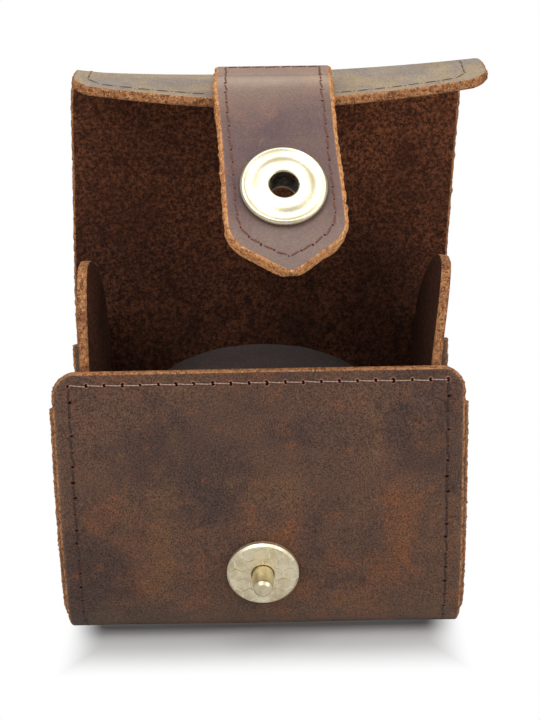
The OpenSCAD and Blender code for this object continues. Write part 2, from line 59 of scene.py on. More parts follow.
# The strip that is front, base and back
CASE_D, CASE_H, WALL, HALF_W = 54.0, 67.5, 2.2, 45.0
CURVE_TOP, CORNER_TOP, LOWER_LEAN, CORNER_CUT = 44.0, 12.0, 14.0, 5.5
# Side panels, their flanges and ears
GUSSET_T, GUSSET_IN, FLANGE_OUT, FLANGE_DROP = 2.1, 5.2, 0.5, 9.0
EAR_FOLD_DROP, EAR_H, EAR_FRONT, EAR_BACK = 1.5, 23.0, 1.0, 2.6
# Lid, its bend and its flap
LID_RISE, LID_SWING, LID_RUN, BEND_RUN = 3.6, 82.0, 2.5, 2.7
FLAP_STAND, FLAP_BEND_R, FLAP_L = 2.9, 8.6, 16.5978
# Strap
STRAP_W, LAYER, BEND_L, SNAP_DROP, TIP_L, POINT_L = 25.5, 2.2, 5.0, 19.7, 20.5, 8.5
ANCHOR_L, PRESS_TURN, HANG_RATIO, ASKEW, STRAP_X = 10.7, 22.0, 0.66, 15.0, 4.4
# Snap: the strap's hole is the barrel's 8 mm with 0.1 mm all round
SNAP_X, STUD_Z, CAP_H, PLATE_H, LOOSE, SEWN = 0.1, 19.6, 2.0, 0.8, 0.3, 0.05
RING_D, RING_H, BORE_D, HOLE_D, CELL = 18.5, 1.8, 6.0, 8.2, 3.1
# Cushion
CUSHION_W, CUSHION_L, CUSHION_H, DRAW_IN, OVAL = 71.0, 41.0, 59.0, 4.0, 2.15

# ---- Sizes of what is drawn only here, or more finely than in the solids, in millimetres ----

# How far the rows of stitches stand in from the front's top, the sides, the flap's end and the strap's edge
HEM_ROW, SIDE_ROW, FLAP_ROW, STRAP_ROW = 2.7, 3.8, 2.6, 2.5
# Radius of the flange's turn into its panel, half way through the leather
FLANGE_TURN = 1.7
# The flap's rise at its left and right end, with its power, and its sag in the middle
RISE_LEFT, RISE_RIGHT, RISE_POWER, SAG = 4.5, 4.1, 1.72, 1.9
# How much flatter the bend's left is, the lid's belly and the walls' waves
FLAT, BELLY, WAVE = 1.6, 0.5, 0.12
# How much the lining is pressed where it bends, the socket ring's valley and the end panels' dome
PRESSED, VALLEY, DOME = 1.15, 0.42, 1.6

Y0 = -CASE_D / 2


def cos(a):
    return np.cos(np.radians(a))


def sin(a):
    return np.sin(np.radians(a))


LEAN_R = (CURVE_TOP - CORNER_TOP) / sin(LOWER_LEAN)
LEAN_Y = LEAN_R * (1 - cos(LOWER_LEAN))
CORNER_R = CORNER_TOP / (1 - sin(LOWER_LEAN))
CORNER_Y = LEAN_Y + CORNER_R * cos(LOWER_LEAN)
FOLD_Y, FOLD_Z = CASE_D - WALL / 2, CASE_H + LID_RISE
BEND_Y, BEND_Z = FLAP_BEND_R - FLAP_STAND, FOLD_Z - WALL / 2 - FLAP_BEND_R
STUD_LEAN = math.degrees(math.asin((CURVE_TOP - STUD_Z) / LEAN_R))
STUD_Y = LEAN_R * (1 - cos(STUD_LEAN))
EAR_X, EAR_Z = HALF_W - GUSSET_IN - GUSSET_T / 2, CASE_H - EAR_FOLD_DROP

# The closed strap's directions up and out, the snap's centre on it, and its two bend lines
SLANT = math.degrees(math.asin((STRAP_X - SNAP_X) / (SNAP_DROP + BEND_L * cos(PRESS_TURN))))
STRAP_UP = np.array([sin(SLANT), -cos(SLANT) * sin(STUD_LEAN), cos(SLANT) * cos(STUD_LEAN)])
STRAP_OUT = np.array([0, -cos(STUD_LEAN), -sin(STUD_LEAN)])
TONGUE = np.array([SNAP_X, Y0 + STUD_Y, STUD_Z]) + (CAP_H + LOOSE + PLATE_H + LAYER) * STRAP_OUT
PRESS = TONGUE + SNAP_DROP * STRAP_UP
HANG = PRESS + BEND_L * (cos(PRESS_TURN) * STRAP_UP - sin(PRESS_TURN) * STRAP_OUT)
HANG_TURN = HANG_RATIO * LID_SWING
MID_TURN = STUD_LEAN - PRESS_TURN + HANG_TURN / 2
HANG_AXIS = np.array([cos(ASKEW), -sin(ASKEW) * cos(MID_TURN), -sin(ASKEW) * sin(MID_TURN)])
PRESS_AXIS = np.array([cos(SLANT), sin(SLANT) * sin(STUD_LEAN), -sin(SLANT) * cos(STUD_LEAN)])


# ---- Shapes ----

def unit(v):
    return v / np.linalg.norm(v, axis=-1, keepdims=True)


def ease(t):
    """0 below 0, 1 above 1, and 3 t squared less 2 t cubed between."""
    t = np.clip(t, 0, 1)
    return t * t * (3 - 2 * t)


def bell(t):
    """1 at 0, falling to both sides as e to the power of less t squared."""
    return np.exp(-t ** 2)


def about(points, centre, axis, angle):
    """Points turned about a line: each keeps its share along the axis, and its rest turns by the angle."""
    a = np.asarray(axis, float) / np.linalg.norm(axis)
    p = np.asarray(points, float) - centre
    along = (p @ a)[..., None] * a
    return centre + along + (p - along) * cos(angle) + np.cross(a, p) * sin(angle)


def opened(points):
    """Swings what is drawn on the closed lid open."""
    return about(points, np.array([0, Y0 + FOLD_Y, FOLD_Z]), (1, 0, 0), -LID_SWING)


def strap_opened(points):
    """Lifts what is drawn on the closed strap off the stud, then swings it open with the lid."""
    return opened(about(about(points, PRESS, PRESS_AXIS, -PRESS_TURN), HANG, HANG_AXIS, HANG_TURN))


def arc(cy, cz, r, a1, a2):
    """Points on a circle about (cy, cz), a quarter of a millimetre apart."""
    a = np.linspace(a1, a2, max(6, int(abs(a2 - a1) / 57.3 * r * 4)))
    return np.stack([cy + r * cos(a), cz + r * sin(a)], 1)


def drawn(t, a, b, c):
    """A curve led by three points, in shares of (1 - t) squared, 2 t (1 - t) and t squared."""
    return (1 - t) ** 2 * a + 2 * t * (1 - t) * b + t * t * c


def walls(depth, front_z, back_z):
    """Side outline of the walls set in by a depth: lines and arcs from the front's top to the back's."""
    return np.concatenate([
        [[depth, front_z]],
        arc(LEAN_R, CURVE_TOP, LEAN_R - depth, 180, 180 + LOWER_LEAN),
        arc(CORNER_Y, CORNER_R, CORNER_R - depth, 180 + LOWER_LEAN, 270),
        arc(CASE_D - CORNER_Y, CORNER_R, CORNER_R - depth, 270, 360 - LOWER_LEAN),
        arc(CASE_D - LEAN_R, CURVE_TOP, LEAN_R - depth, 360 - LOWER_LEAN, 360),
        [[CASE_D - depth, back_z]]])


def lengths(points):
    """Length along a line of points up to each of them."""
    return np.concatenate([[0], np.cumsum(np.linalg.norm(np.diff(points, axis=0), axis=1))])


class Strip:
    """A long piece of leather: a line of centres with the directions across and out of it.
    A point at u along, x across and n out is centre(u) + x across(u) + (n + lift(u, x)) out(u)."""

    def __init__(self, centres, across, out, lift=None):
        self.u = lengths(centres)
        self.centres, self.across, self.out = centres, across, out
        self.lift = lift or (lambda u, x: 0 * x)

    def at(self, values, u):
        return np.stack([np.interp(u, self.u, values[:, k]) for k in range(3)], -1)

    def place(self, u, x, n):
        u, x, n = np.broadcast_arrays(u, x, n)
        raised = (n + self.lift(u, x))[..., None]
        return self.at(self.centres, u) + x[..., None] * unit(self.at(self.across, u)) \
            + raised * unit(self.at(self.out, u))

    def outward(self, u, x):
        """Direction out of the lifted surface, square to its slopes along and across."""
        e = 0.2
        along = self.place(u + e, x, 0) - self.place(u - e, x, 0)
        return unit(np.cross(along, self.place(u, x + e, 0) - self.place(u, x - e, 0)))


def side_strip(line, lift=None):
    """A strip that runs along a side outline, with x across the case. Out is square to the line, on its
    right hand. The line is first smoothed by the mean of each point and its two neighbours."""
    u = lengths(line)
    fine = np.arange(0, u[-1], 0.2)
    y, z = np.interp(fine, u, line[:, 0]), np.interp(fine, u, line[:, 1])
    for _ in range(4):
        y[1:-1] = (y[:-2] + y[1:-1] + y[2:]) / 3
        z[1:-1] = (z[:-2] + z[1:-1] + z[2:]) / 3
    dy, dz = np.gradient(y), np.gradient(z)
    size = np.hypot(dy, dz)
    zero = np.zeros_like(y)
    return Strip(np.stack([zero, Y0 + y, z], 1), np.tile([1.0, 0, 0], (len(y), 1)),
                 np.stack([zero, dz / size, -dy / size], 1), lift)


def soften(line, at, reach):
    """Rounds the corner of a line at a length along it, by a curve led by the points within reach of it."""
    u = lengths(line)
    a, c, b = (np.array([np.interp(v, u, line[:, 0]), np.interp(v, u, line[:, 1])])
               for v in (at - reach, at, at + reach))
    curve = drawn(np.linspace(0, 1, 24)[:, None], a, c, b)
    return np.concatenate([line[u < at - reach], curve, line[u > at + reach]])


CASE_LINE = walls(WALL / 2, CASE_H, FOLD_Z)
U_FOLD = lengths(CASE_LINE)[-1]
U_BEND = U_FOLD + FOLD_Y - BEND_Y
U_FLAP = U_BEND + (FLAP_BEND_R + WALL / 2) * math.radians(90)
U_END = U_FLAP + FLAP_L


def lid_line():
    """The lid, its bend and flap, closed, then turned open about the fold."""
    bend = arc(BEND_Y, BEND_Z, FLAP_BEND_R + WALL / 2, 90, 180)
    line = np.concatenate([bend, [bend[-1] - [0, FLAP_L]]]) - [FOLD_Y, FOLD_Z]
    c, s = cos(-LID_SWING), sin(-LID_SWING)
    turned = np.stack([line[:, 0] * c - line[:, 1] * s, line[:, 0] * s + line[:, 1] * c], 1)
    return turned + [FOLD_Y, FOLD_Z]


def wrap_centre(u):
    """How far the strip has run to the side: steadily up the lid, then as its bend drops."""
    up = np.clip((u - U_FOLD) / (U_BEND - U_FOLD), 0, 1)
    turn = np.clip((u - U_BEND) / (U_FLAP - U_BEND), 0, 1) * 90
    return LID_RUN * up + BEND_RUN * (1 - cos(turn))


def wrap_lift(u, x):
    """The flap's sag under its strap: lower in the middle, and higher towards its ends by a power of the
    distance, growing past the bend. The bend is flatter towards its left, the lid bellies back a little
    between its sides, and the walls have slow waves."""
    side = (x - STRAP_X - 1) / HALF_W
    rise = np.where(side < 0, RISE_LEFT, RISE_RIGHT) * np.abs(side) ** RISE_POWER
    flap = ease((u - U_BEND + 4) / (U_END - U_BEND)) * (rise - SAG)
    left = np.clip(1 - (x + HALF_W) / 62, 0, 1)
    flat = FLAT * left * ease((u - U_BEND + 16) / 14) * ease((U_FLAP + 5 - u) / 6)
    lid = ease((u - U_FOLD - 8) / 22) * ease((U_BEND + 4 - u) / 16)
    waves = WAVE * np.sin(u / 13.0 + x / 21.0) * np.sin(x / 17.0 - u / 37.0)
    return flap - flat + BELLY * lid * np.sin((x + 12) / 31) + waves * (1 - ease((u - U_FOLD + 6) / 10))


def rounded_in(d, r):
    """How far a round corner of radius r is inside the edge at a distance d from the end."""
    return r - np.sqrt(np.maximum(0, r * r - (r - np.clip(d, 0, r)) ** 2))


def wrap_sides(u):
    """The strip's left and right edge at a length along it."""
    inside = rounded_in(u, CORNER_CUT) + rounded_in(U_END - u, CORNER_CUT)
    past = ease((u - U_BEND) / 20)
    c = wrap_centre(u)
    return c - HALF_W + inside + 0.3 * past, c + HALF_W - inside + 1.1 * past


# A cut edge's round: shares of half the thickness from the outer face to the inner
EDGE_N = np.array([0.97, 0.88, 0.68, 0.36, 0, -0.36, -0.68, -0.88, -0.97])


def crowded(first, last, step, spots=(), reach=2.5, close=0.3):
    """Lengths from first to last a step apart, closer together near each of the spots."""
    marks = [np.arange(first, last, step), [last]]
    for s in spots:
        marks.append(np.arange(max(first, s - reach), min(last, s + reach), close))
    marks = np.unique(np.round(np.concatenate(marks), 3))
    keep = np.concatenate([[True], np.diff(marks) > close * 0.45])
    keep[-1] = True
    return marks[keep]


def between_rings(rows, ring, turned=False):
    """Faces between neighbouring closed rings of points, turned to face the other way if asked."""
    i = np.arange(rows - 1)[:, None] * ring
    j = np.arange(ring)[None, :]
    k = (j + 1) % ring
    corners = (i + j, i + ring + j, i + ring + k, i + k)
    return np.stack(corners[:1] + corners[:0:-1] if turned else corners, -1).reshape(-1, 4)


def sheet_mesh(strip, u, sides, low, high, columns, flesh=(0, 1), rough=0.07, round_r=0.5,
               ends=(True, True), pull=None, light=None, seed=1):
    """A sheet of leather as one closed skin. Each ring goes over the outer face at n = high, round one cut
    edge, back over the inner face at n = low and round the other. A cut edge stands in by round_r times
    the fourth power of its share of half the thickness. At the sheet's own ends the thickness closes as
    0.3 + 0.7 sqrt(1 - (1 - d / round_r) squared), at a distance d from the end. Cut edges are roughened
    by small seeded steps."""
    first, last = u[0], u[-1]
    close = np.array([0, 0.04, 0.14, 0.32, 0.6, 1]) * round_r
    if ends[0]:
        u = np.concatenate([first + close, u[u > first + round_r * 1.2]])
    if ends[1]:
        u = np.concatenate([u[u < last - round_r * 1.2], last - close[::-1]])
    left, right = sides(u)
    far = np.full_like(u, 99)
    d = np.minimum(u - first if ends[0] else far, last - u if ends[1] else far)
    shut = 0.3 + 0.7 * np.sqrt(1 - (1 - np.clip(d / round_r, 0, 1)) ** 2)
    r = np.minimum(round_r, (right - left) * 0.3)
    share = (columns - columns[0]) / (columns[-1] - columns[0])
    face_x = (left + r)[:, None] + (right - left - 2 * r)[:, None] * share
    low = low(u) if callable(low) else np.full(len(u), low)
    mid, half = (high + low) / 2, (high - low) / 2
    rng = np.random.default_rng(seed)
    grit = rng.normal(0, rough, (len(u), 2, len(EDGE_N)))
    grit[1:-1] = (grit[:-2] + 2 * grit[1:-1] + grit[2:]) / 3
    grit *= 1 - np.abs(EDGE_N) ** 6
    set_in = r[:, None] * np.abs(EDGE_N) ** 4
    x = np.concatenate([face_x, right[:, None] - set_in + grit[:, 0], face_x[:, ::-1],
                        left[:, None] + set_in[:, ::-1] + grit[:, 1]], 1)
    m, e = len(share), len(EDGE_N)
    n = np.concatenate([np.ones(m), EDGE_N, -np.ones(m), EDGE_N[::-1]])
    n = mid[:, None] + half[:, None] * n[None, :] * shut[:, None]
    uu = np.broadcast_to(u[:, None], x.shape).copy()
    for end, k in ((ends[0], 0), (ends[1], -1)):
        if end:
            uu[k] += rng.normal(0, rough, x.shape[1]) * 0.6
    rows, ring = x.shape
    back = m + e + (m - 1 - np.arange(m))
    cap = [[a, a + 1, back[a + 1], back[a]] for a in range(m - 1)]
    cap.append([m - 1] + list(range(m, m + e)) + [m + e])
    cap.append([2 * m + e - 1] + list(range(2 * m + e, ring)) + [0])
    faces = between_rings(rows, ring).tolist() + cap
    faces += [[(rows - 1) * ring + v for v in reversed(c)] for c in cap]
    cut = np.concatenate([np.zeros(m), np.ones(e), np.zeros(m), np.ones(e)])
    cut[[0, m - 1, m + e, 2 * m + e - 1]] = 0.45
    cut = np.maximum(cut[None, :], np.clip(1 - d / round_r, 0, 1)[:, None] ** 0.5)
    skin = np.full(ring, float(flesh[0]))
    skin[m + e // 2:2 * m + e + e // 2] = flesh[1]
    none = np.zeros_like(x)
    # the paling attribute carries pull-up wear and painted sheen, and the light attribute painted light and
    # shade
    return strip.place(uu, x, n).reshape(-1, 3), faces, {
        "cut": cut.ravel(), "flesh": np.broadcast_to(skin, x.shape).ravel(),
        "pull": (pull(uu, x) if pull else none).ravel(), "light": (light(uu, x) if light else none).ravel()}


def piece(name, points, faces, attributes, materials, indices=None):
    """A mesh object at the origin from points in millimetres, with smooth faces."""
    mesh = bpy.data.meshes.new(name)
    mesh.from_pydata((np.asarray(points) / 1000).tolist(), [], faces)
    for key, values in attributes.items():
        mesh.attributes.new(key, "FLOAT", "POINT").data.foreach_set("value", values.astype(np.float32))
    mesh.polygons.foreach_set("use_smooth", np.ones(len(mesh.polygons), bool))
    for m in materials:
        mesh.materials.append(m)
    if indices is not None:
        mesh.polygons.foreach_set("material_index", np.asarray(indices, np.int32))
    mesh.validate()
    mesh.update()
    obj = bpy.data.objects.new(name, mesh)
    bpy.context.scene.collection.objects.link(obj)
    return obj


def turn_outwards(obj):
    """Turns every face of a closed skin outwards."""
    bm = bmesh.new()
    bm.from_mesh(obj.data)
    bmesh.ops.recalc_face_normals(bm, faces=bm.faces)
    bm.to_mesh(obj.data)
    bm.free()


def stitches(name, a, b, out, kit, width, height, hole, cover, slant, stray):
    """A row of stitches, each from a to b, on a surface whose outward direction is given. A thread's
    middle line rises by height times 1 - (2 t - 1) to the fourth and its section is an oval. It covers a
    share of the way between its holes, slants across the row and strays from it. Round each of its holes
    the leather stands up in a low lip, around a pit painted dark as the hole's shade."""
    count = len(a)
    rng = np.random.default_rng(3)
    along = unit(b - a)
    across = unit(np.cross(out, along))
    slip = rng.normal(0, stray, (count, 2, 1))
    off = rng.normal(0, stray, (count + 1, 2, 1))
    more = np.append(np.arange(count), count - 1)
    pits = np.concatenate([a, b[-1:]]) + off[:, 0] * across[more] + 2 * off[:, 1] * along[more]
    short = (b - a) * (1 - cover) / 2
    a = a + short + (slip[:, 0] - slant) * across
    b = b - short + (slip[:, 1] + slant) * across

    t = np.array([0, 0.08, 0.3, 0.7, 0.92, 1])
    rise = height * (1 - np.abs(2 * t - 1) ** 4) - height * 0.9 * (np.abs(2 * t - 1) > 0.99)
    mid = a[:, None] + (b - a)[:, None] * t[:, None] + out[:, None] * rise[:, None]
    angle = np.linspace(0, 360, 6, endpoint=False)
    thin = np.array([0.55, 0.9, 1, 1, 0.9, 0.55])
    ring = (across[:, None, None] * (cos(angle)[:, None] * width / 2)
            + out[:, None, None] * (sin(angle)[:, None] * height / 2)) * thin[None, :, None, None]
    thread = (mid[:, :, None] + ring).reshape(-1, 3)
    thread_faces = between_rings(6, 6, True).tolist() + [list(range(5, -1, -1)), list(range(30, 36))]

    up, ahead = out[more], along[more]
    beside = np.cross(up, ahead)
    angle = np.linspace(0, 360, 8, endpoint=False)
    tilt = rng.normal(25, 14, (count + 1, 1))
    wide = ahead[:, None] * cos(angle + tilt)[..., None] + beside[:, None] * sin(angle + tilt)[..., None]
    tall = rng.uniform(0.0, 0.45, (count + 1, 1, 1)) * sin(angle)[None, :, None] * beside[:, None]
    circle = (wide + tall) * hole * rng.uniform(1 - 4 * stray, 1.05 + 2 * stray, (count + 1, 1, 1))
    # width and height of four rings: the lip's outer foot, its crest, its inner edge, and the pit
    sizes = (1.7, -0.04), (1.25, 0.07), (1.0, 0.05), (0.55, 0.02)
    rings = [circle * r + up[:, None] * h for r, h in sizes]
    lips = (pits[:, None] + np.concatenate(rings, 1)).reshape(-1, 3)
    lip_faces = between_rings(4, 8, True).tolist() + [list(range(24, 32))]

    faces = [[v + s * 36 for v in f] for s in range(count) for f in thread_faces]
    faces += [[v + count * 36 + s * 32 for v in f] for s in range(count + 1) for f in lip_faces]
    # the pit's faces take the pit's painted shade, standing in for the hole's depth
    index = [0] * len(thread_faces) * count + ([2] * 16 + [1] * 9) * (count + 1)
    twist = np.concatenate([np.tile(np.repeat(t, 6), count), np.zeros(len(lips))])
    return piece(name, np.concatenate([thread, lips]), faces, {"twist": twist}, kit, index)


def row(strip, u, x, n, pitch):
    """Starts, ends and outward directions of stitches along a line on a strip, with its points' u and x."""
    u, x = np.broadcast_arrays(u, x)
    far = lengths(strip.place(u, x, n))
    marks = np.linspace(0, far[-1], max(1, int(round(far[-1] / pitch))) + 1)
    uu, xx = np.interp(marks, far, u), np.interp(marks, far, x)
    p = strip.place(uu, xx, n)
    return p[:-1], p[1:], np.sign(n) * strip.outward(uu[:-1], xx[:-1])


def sew(name, node, rows, kind, width, height, hole, cover, slant, stray):
    """One object of all the stitches in some rows, in the place of a thread's solids."""
    a, b, out = (np.concatenate(part) for part in zip(*rows))
    obj = stitches(name, a, b, out, thread_kit(kind), width, height, hole, cover, slant, stray)
    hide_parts(node)
    return obj


# ---- Materials ----

COLOUR, NUMBER, VECTOR = "NodeSocketColor", "NodeSocketFloat", "NodeSocketVector"


def rgb(r, g, b):
    """A colour given as it shows on a screen, as the linear values the shader takes."""
    c = np.array([r, g, b]) / 255
    return tuple(np.where(c <= 0.04045, c / 12.92, ((c + 0.055) / 1.055) ** 2.4)) + (1.0,)


class Tree:
    """Adds nodes to a node tree. A value given for a socket is set, and a socket given for it is linked."""

    def __init__(self, tree):
        self.tree = tree

    def put(self, node, inputs):
        """Sets or links a node's inputs, and gives its outputs."""
        for key, value in inputs.items():
            if isinstance(value, bpy.types.NodeSocket):
                self.tree.links.new(value, node.inputs[key])
            else:
                node.inputs[key].default_value = value
        return node.outputs

    def add(self, kind, inputs, out=0, **settings):
        node = self.tree.nodes.new(kind)
        for key, value in settings.items():
            setattr(node, key, value)
        return self.put(node, inputs)[out]

    def group(self, name, inputs):
        """A node of a shared group, which is made at its first use."""
        node = self.tree.nodes.new("ShaderNodeGroup")
        node.node_tree = bpy.data.node_groups.get(name) or GROUPS[name](name)
        return self.put(node, inputs)

    def noise(self, place, scale, detail, rough, warp=0.0):
        return self.add("ShaderNodeTexNoise", {
            "Vector": place, "Scale": scale, "Detail": detail, "Roughness": rough, "Distortion": warp})

    def span(self, value, low, high, to_low=0.0, to_high=1.0):
        return self.add("ShaderNodeMapRange", {
            0: value, 1: low, 2: high, 3: to_low, 4: to_high}, interpolation_type="SMOOTHSTEP")

    def maths(self, kind, a, b=0.0):
        return self.add("ShaderNodeMath", {0: a, 1: b}, operation=kind)

    def vectors(self, kind, *inputs, out=0):
        return self.add("ShaderNodeVectorMath", dict(enumerate(inputs)), out, operation=kind)

    def mix(self, share, a, b, blend="MIX"):
        return self.add("ShaderNodeMix", {0: share, 6: a, 7: b}, 2, data_type="RGBA", blend_type=blend)

    def tinted(self, c, given, *steps):
        """A colour mixed by turns with a group's own colours. Each step says its field, where that begins
        and where it is full, the share there, and the colour's name."""
        for field, low, high, share, name in steps:
            c = self.mix(self.span(field, low, high, 0.0, share), c, given[name])
        return c

    def lit(self, c, tone):
        """A colour times a brightness."""
        return self.mix(1.0, c, self.add("ShaderNodeCombineColor", {0: tone, 1: tone, 2: tone}), "MULTIPLY")

    def bump(self, height, strength, distance):
        return self.add("ShaderNodeBump", {"Height": height, "Strength": strength, "Distance": distance})

    def stretch(self, place, scale):
        return self.add("ShaderNodeMapping", {"Vector": place, "Scale": scale})

    def value(self, name):
        return self.add("ShaderNodeAttribute", {}, 2, attribute_name=name, attribute_type="GEOMETRY")

    def place(self):
        return self.add("ShaderNodeTexCoord", {}, 3)


class Surface(Tree):
    """The node tree of a new material."""

    def __init__(self, name):
        self.material = bpy.data.materials.new(name)
        self.material.use_nodes = True
        super().__init__(self.material.node_tree)

    def done(self, inputs):
        """Sets the surface's inputs and gives the material."""
        self.put(self.tree.nodes["Principled BSDF"], inputs)
        return self.material


def new_group(name, inputs, outputs):
    """A new shader node group: its tree, its input node's outputs and its output node."""
    tree = bpy.data.node_groups.new(name, "ShaderNodeTree")
    for key, kind, value in inputs:
        socket = tree.interface.new_socket(name=key, in_out="INPUT", socket_type=kind)
        if value is not None:
            socket.default_value = value
    for key, kind in outputs:
        tree.interface.new_socket(name=key, in_out="OUTPUT", socket_type=kind)
    return Tree(tree), tree.nodes.new("NodeGroupInput").outputs, tree.nodes.new("NodeGroupOutput")


def grain_group(name):
    """Pull-up leather: slow patches of warm and dark, clouds, and a fine grain that fades where worn. Where
    it pales, the paling is pull-up wear and also painted sheen.
    """
    t, given, end = new_group(name, [
        ("Place", VECTOR, None), ("Base", COLOUR, (0.1, 0.06, 0.04, 1)),
        ("Warm", COLOUR, (0.16, 0.07, 0.03, 1)), ("Dark", COLOUR, (0.05, 0.03, 0.03, 1)),
        ("Pale", COLOUR, (0.4, 0.33, 0.25, 1)),
        ("Ochre", COLOUR, (0.1, 0.08, 0.04, 1)), ("Grey", COLOUR, (0.3, 0.28, 0.27, 1)),
        ("Pull", NUMBER, 0.0), ("Grain", NUMBER, 1.0)],
        [("Colour", COLOUR), ("Roughness", NUMBER), ("Height", NUMBER)])
    at = given["Place"]
    slow = t.noise(at, 26, 4, 0.6, 0.5)
    patch = t.noise(at, 55, 5, 0.7, 0.3)
    clouds = t.noise(at, 230, 5, 0.75)
    fine = t.noise(at, 2300, 3, 0.75)
    dots = t.noise(at, 4600, 2, 0.6)
    hue = t.noise(t.stretch(at, (1, 1, 0.55)), 70, 4, 0.65, 0.4)
    c = t.tinted(given["Base"], given, (patch, 0.50, 0.70, 0.7, "Warm"), (slow, 0.52, 0.34, 0.8, "Dark"),
                 (clouds, 0.54, 0.72, 0.55, "Warm"), (clouds, 0.46, 0.30, 0.45, "Dark"),
                 (hue, 0.52, 0.70, 0.5, "Ochre"))
    # paling where pulled or rubbed, which also carries the painted sheen of the flap's top and the strap's
    # bend
    worn = t.maths("MULTIPLY", given["Pull"], t.span(patch, 0.3, 0.6, 0.75, 1.0))
    c = t.mix(worn, c, t.tinted(given["Pale"], given, (hue, 0.42, 0.58, 0.75, "Grey")))
    left = t.maths("SUBTRACT", 1.0, t.maths("MULTIPLY", given["Pull"], 0.6))
    part = t.maths("MULTIPLY", given["Grain"], left)
    tone = t.maths("MULTIPLY", t.span(fine, 0.32, 0.68, -0.38, 0.58), part)
    tone = t.maths("ADD", tone, t.maths("MULTIPLY", t.span(dots, 0.3, 0.7, -0.24, 0.32), part))
    height = t.maths("ADD", t.maths("MULTIPLY", fine, 0.9), t.maths("MULTIPLY", dots, 0.35))
    t.put(end, {"Colour": t.lit(c, t.maths("ADD", tone, 1.0)), "Height": height,
                "Roughness": t.span(clouds, 0.3, 0.7, 0.78, 0.62)})
    return t.tree


def nap_group(name):
    """The leather's flesh side: clumps of short fibres, combed a little one way, with light tips."""
    t, given, end = new_group(name, [
        ("Place", VECTOR, None), ("Base", COLOUR, (0.05, 0.02, 0.01, 1)),
        ("Tips", COLOUR, (0.2, 0.08, 0.04, 1)), ("Scale", NUMBER, 1.0)],
        [("Colour", COLOUR), ("Height", NUMBER)])
    at = t.add("ShaderNodeVectorMath", {0: given["Place"], 3: given["Scale"]}, operation="SCALE")
    clumps = t.noise(at, 1150, 4, 0.8, 0.2)
    fibre = t.noise(at, 2800, 3, 0.7)
    slow = t.noise(at, 45, 3, 0.5)
    brushed = t.noise(t.stretch(at, (1, 1, 0.6)), 150, 4, 0.7, 0.4)
    c = t.tinted(given["Base"], given, (clumps, 0.40, 0.68, 0.8, "Tips"), (fibre, 0.52, 0.72, 0.65, "Tips"),
                 (slow, 0.65, 0.35, 0.4, "Base"), (brushed, 0.5, 0.3, 0.5, "Base"))
    t.put(end, {"Colour": c, "Height": t.maths("ADD", clumps, t.maths("MULTIPLY", fibre, 0.5))})
    return t.tree


def cut_group(name):
    """A raw cut edge: packed fibres in tan, with redder cores and pale frayed ends."""
    t, given, end = new_group(name, [
        ("Place", VECTOR, None), ("Tan", COLOUR, (0.5, 0.2, 0.06, 1)),
        ("Red", COLOUR, (0.2, 0.05, 0.02, 1)), ("Pale", COLOUR, (0.75, 0.5, 0.3, 1))],
        [("Colour", COLOUR), ("Height", NUMBER)])
    at = given["Place"]
    fibre = t.noise(at, 1100, 4, 0.8)
    slow = t.noise(at, 120, 3, 0.6)
    tips = t.noise(at, 2300, 3, 0.7)
    c = t.tinted(given["Tan"], given, (fibre, 0.56, 0.38, 1.0, "Red"), (slow, 0.55, 0.3, 0.5, "Red"),
                 (tips, 0.52, 0.68, 0.85, "Pale"))
    t.put(end, {"Colour": c, "Height": t.maths("ADD", fibre, t.maths("MULTIPLY", tips, 0.6))})
    return t.tree


GROUPS = {"Pull_up_grain": grain_group, "Flesh_side_nap": nap_group, "Raw_cut_edge": cut_group}


def leather(name, grain_colours, nap_colours, edge_colours, grained=1.0, coat=0.0):
    """Leather with its grain side, flesh side and cut edges, told apart by the sheet's own attributes.
    Each side's colours are given as a dictionary of its group's inputs."""
    t = Surface(name)
    at = t.place()
    grain = t.group("Pull_up_grain", {
        "Place": at, "Pull": t.value("pull"), "Grain": grained, **grain_colours})
    nap = t.group("Flesh_side_nap", {"Place": at, **nap_colours})
    edge = t.group("Raw_cut_edge", {"Place": at, **edge_colours})
    flesh, cut = t.span(t.value("flesh"), 0.3, 0.7), t.span(t.value("cut"), 0.25, 0.7)
    # painted light and shade: the colour is multiplied by one plus the sheet's light attribute
    colour = t.lit(t.mix(flesh, grain["Colour"], nap["Colour"]), t.maths("ADD", 1.0, t.value("light")))
    rough = t.mix(flesh, grain["Roughness"], (0.95, 0.95, 0.95, 1))
    normal = t.bump(grain["Height"], 0.35, 0.00012)
    for share, fibres in ((flesh, nap), (cut, edge)):
        normal = t.add("ShaderNodeMix", {0: share, 4: normal, 5: t.bump(fibres["Height"], 0.9, 0.0004)}, 1,
                       data_type="VECTOR")
    return t.done({"Base Color": t.mix(cut, colour, edge["Colour"]), "Normal": normal,
                   "Roughness": t.mix(cut, rough, (0.9, 0.9, 0.9, 1)), "Specular IOR Level": 0.2,
                   "Coat Weight": coat, "Coat Roughness": 0.45})


def plain_thread(name, colour, dark):
    """Waxed thread: two plies that wind round each other, with painted shade in the groove between them."""
    t = Surface(name)
    wave = t.maths("SINE", t.maths("MULTIPLY", t.value("twist"), 22.0))
    # painted shade: darker where the groove between the plies comes round
    c = t.mix(t.span(wave, -1.0, 0.2, 0.45, 1.0), dark, colour)
    c = t.mix(t.span(t.noise(t.place(), 2600, 2, 0.6), 0.35, 0.65, 0.3, 0.0), c, dark)
    return t.done({"Base Color": c, "Roughness": 0.6, "Normal": t.bump(wave, 0.5, 0.0001)})


def flat_leather(name, colour, dark, rough):
    """Bare leather at a stitch hole, with a little mottling; in the pit it is painted shade for the hole.
    """
    t = Surface(name)
    c = t.mix(t.span(t.noise(t.place(), 1500, 3, 0.6), 0.35, 0.65), dark, colour)
    return t.done({"Base Color": c, "Roughness": rough, "Specular IOR Level": 0.1})


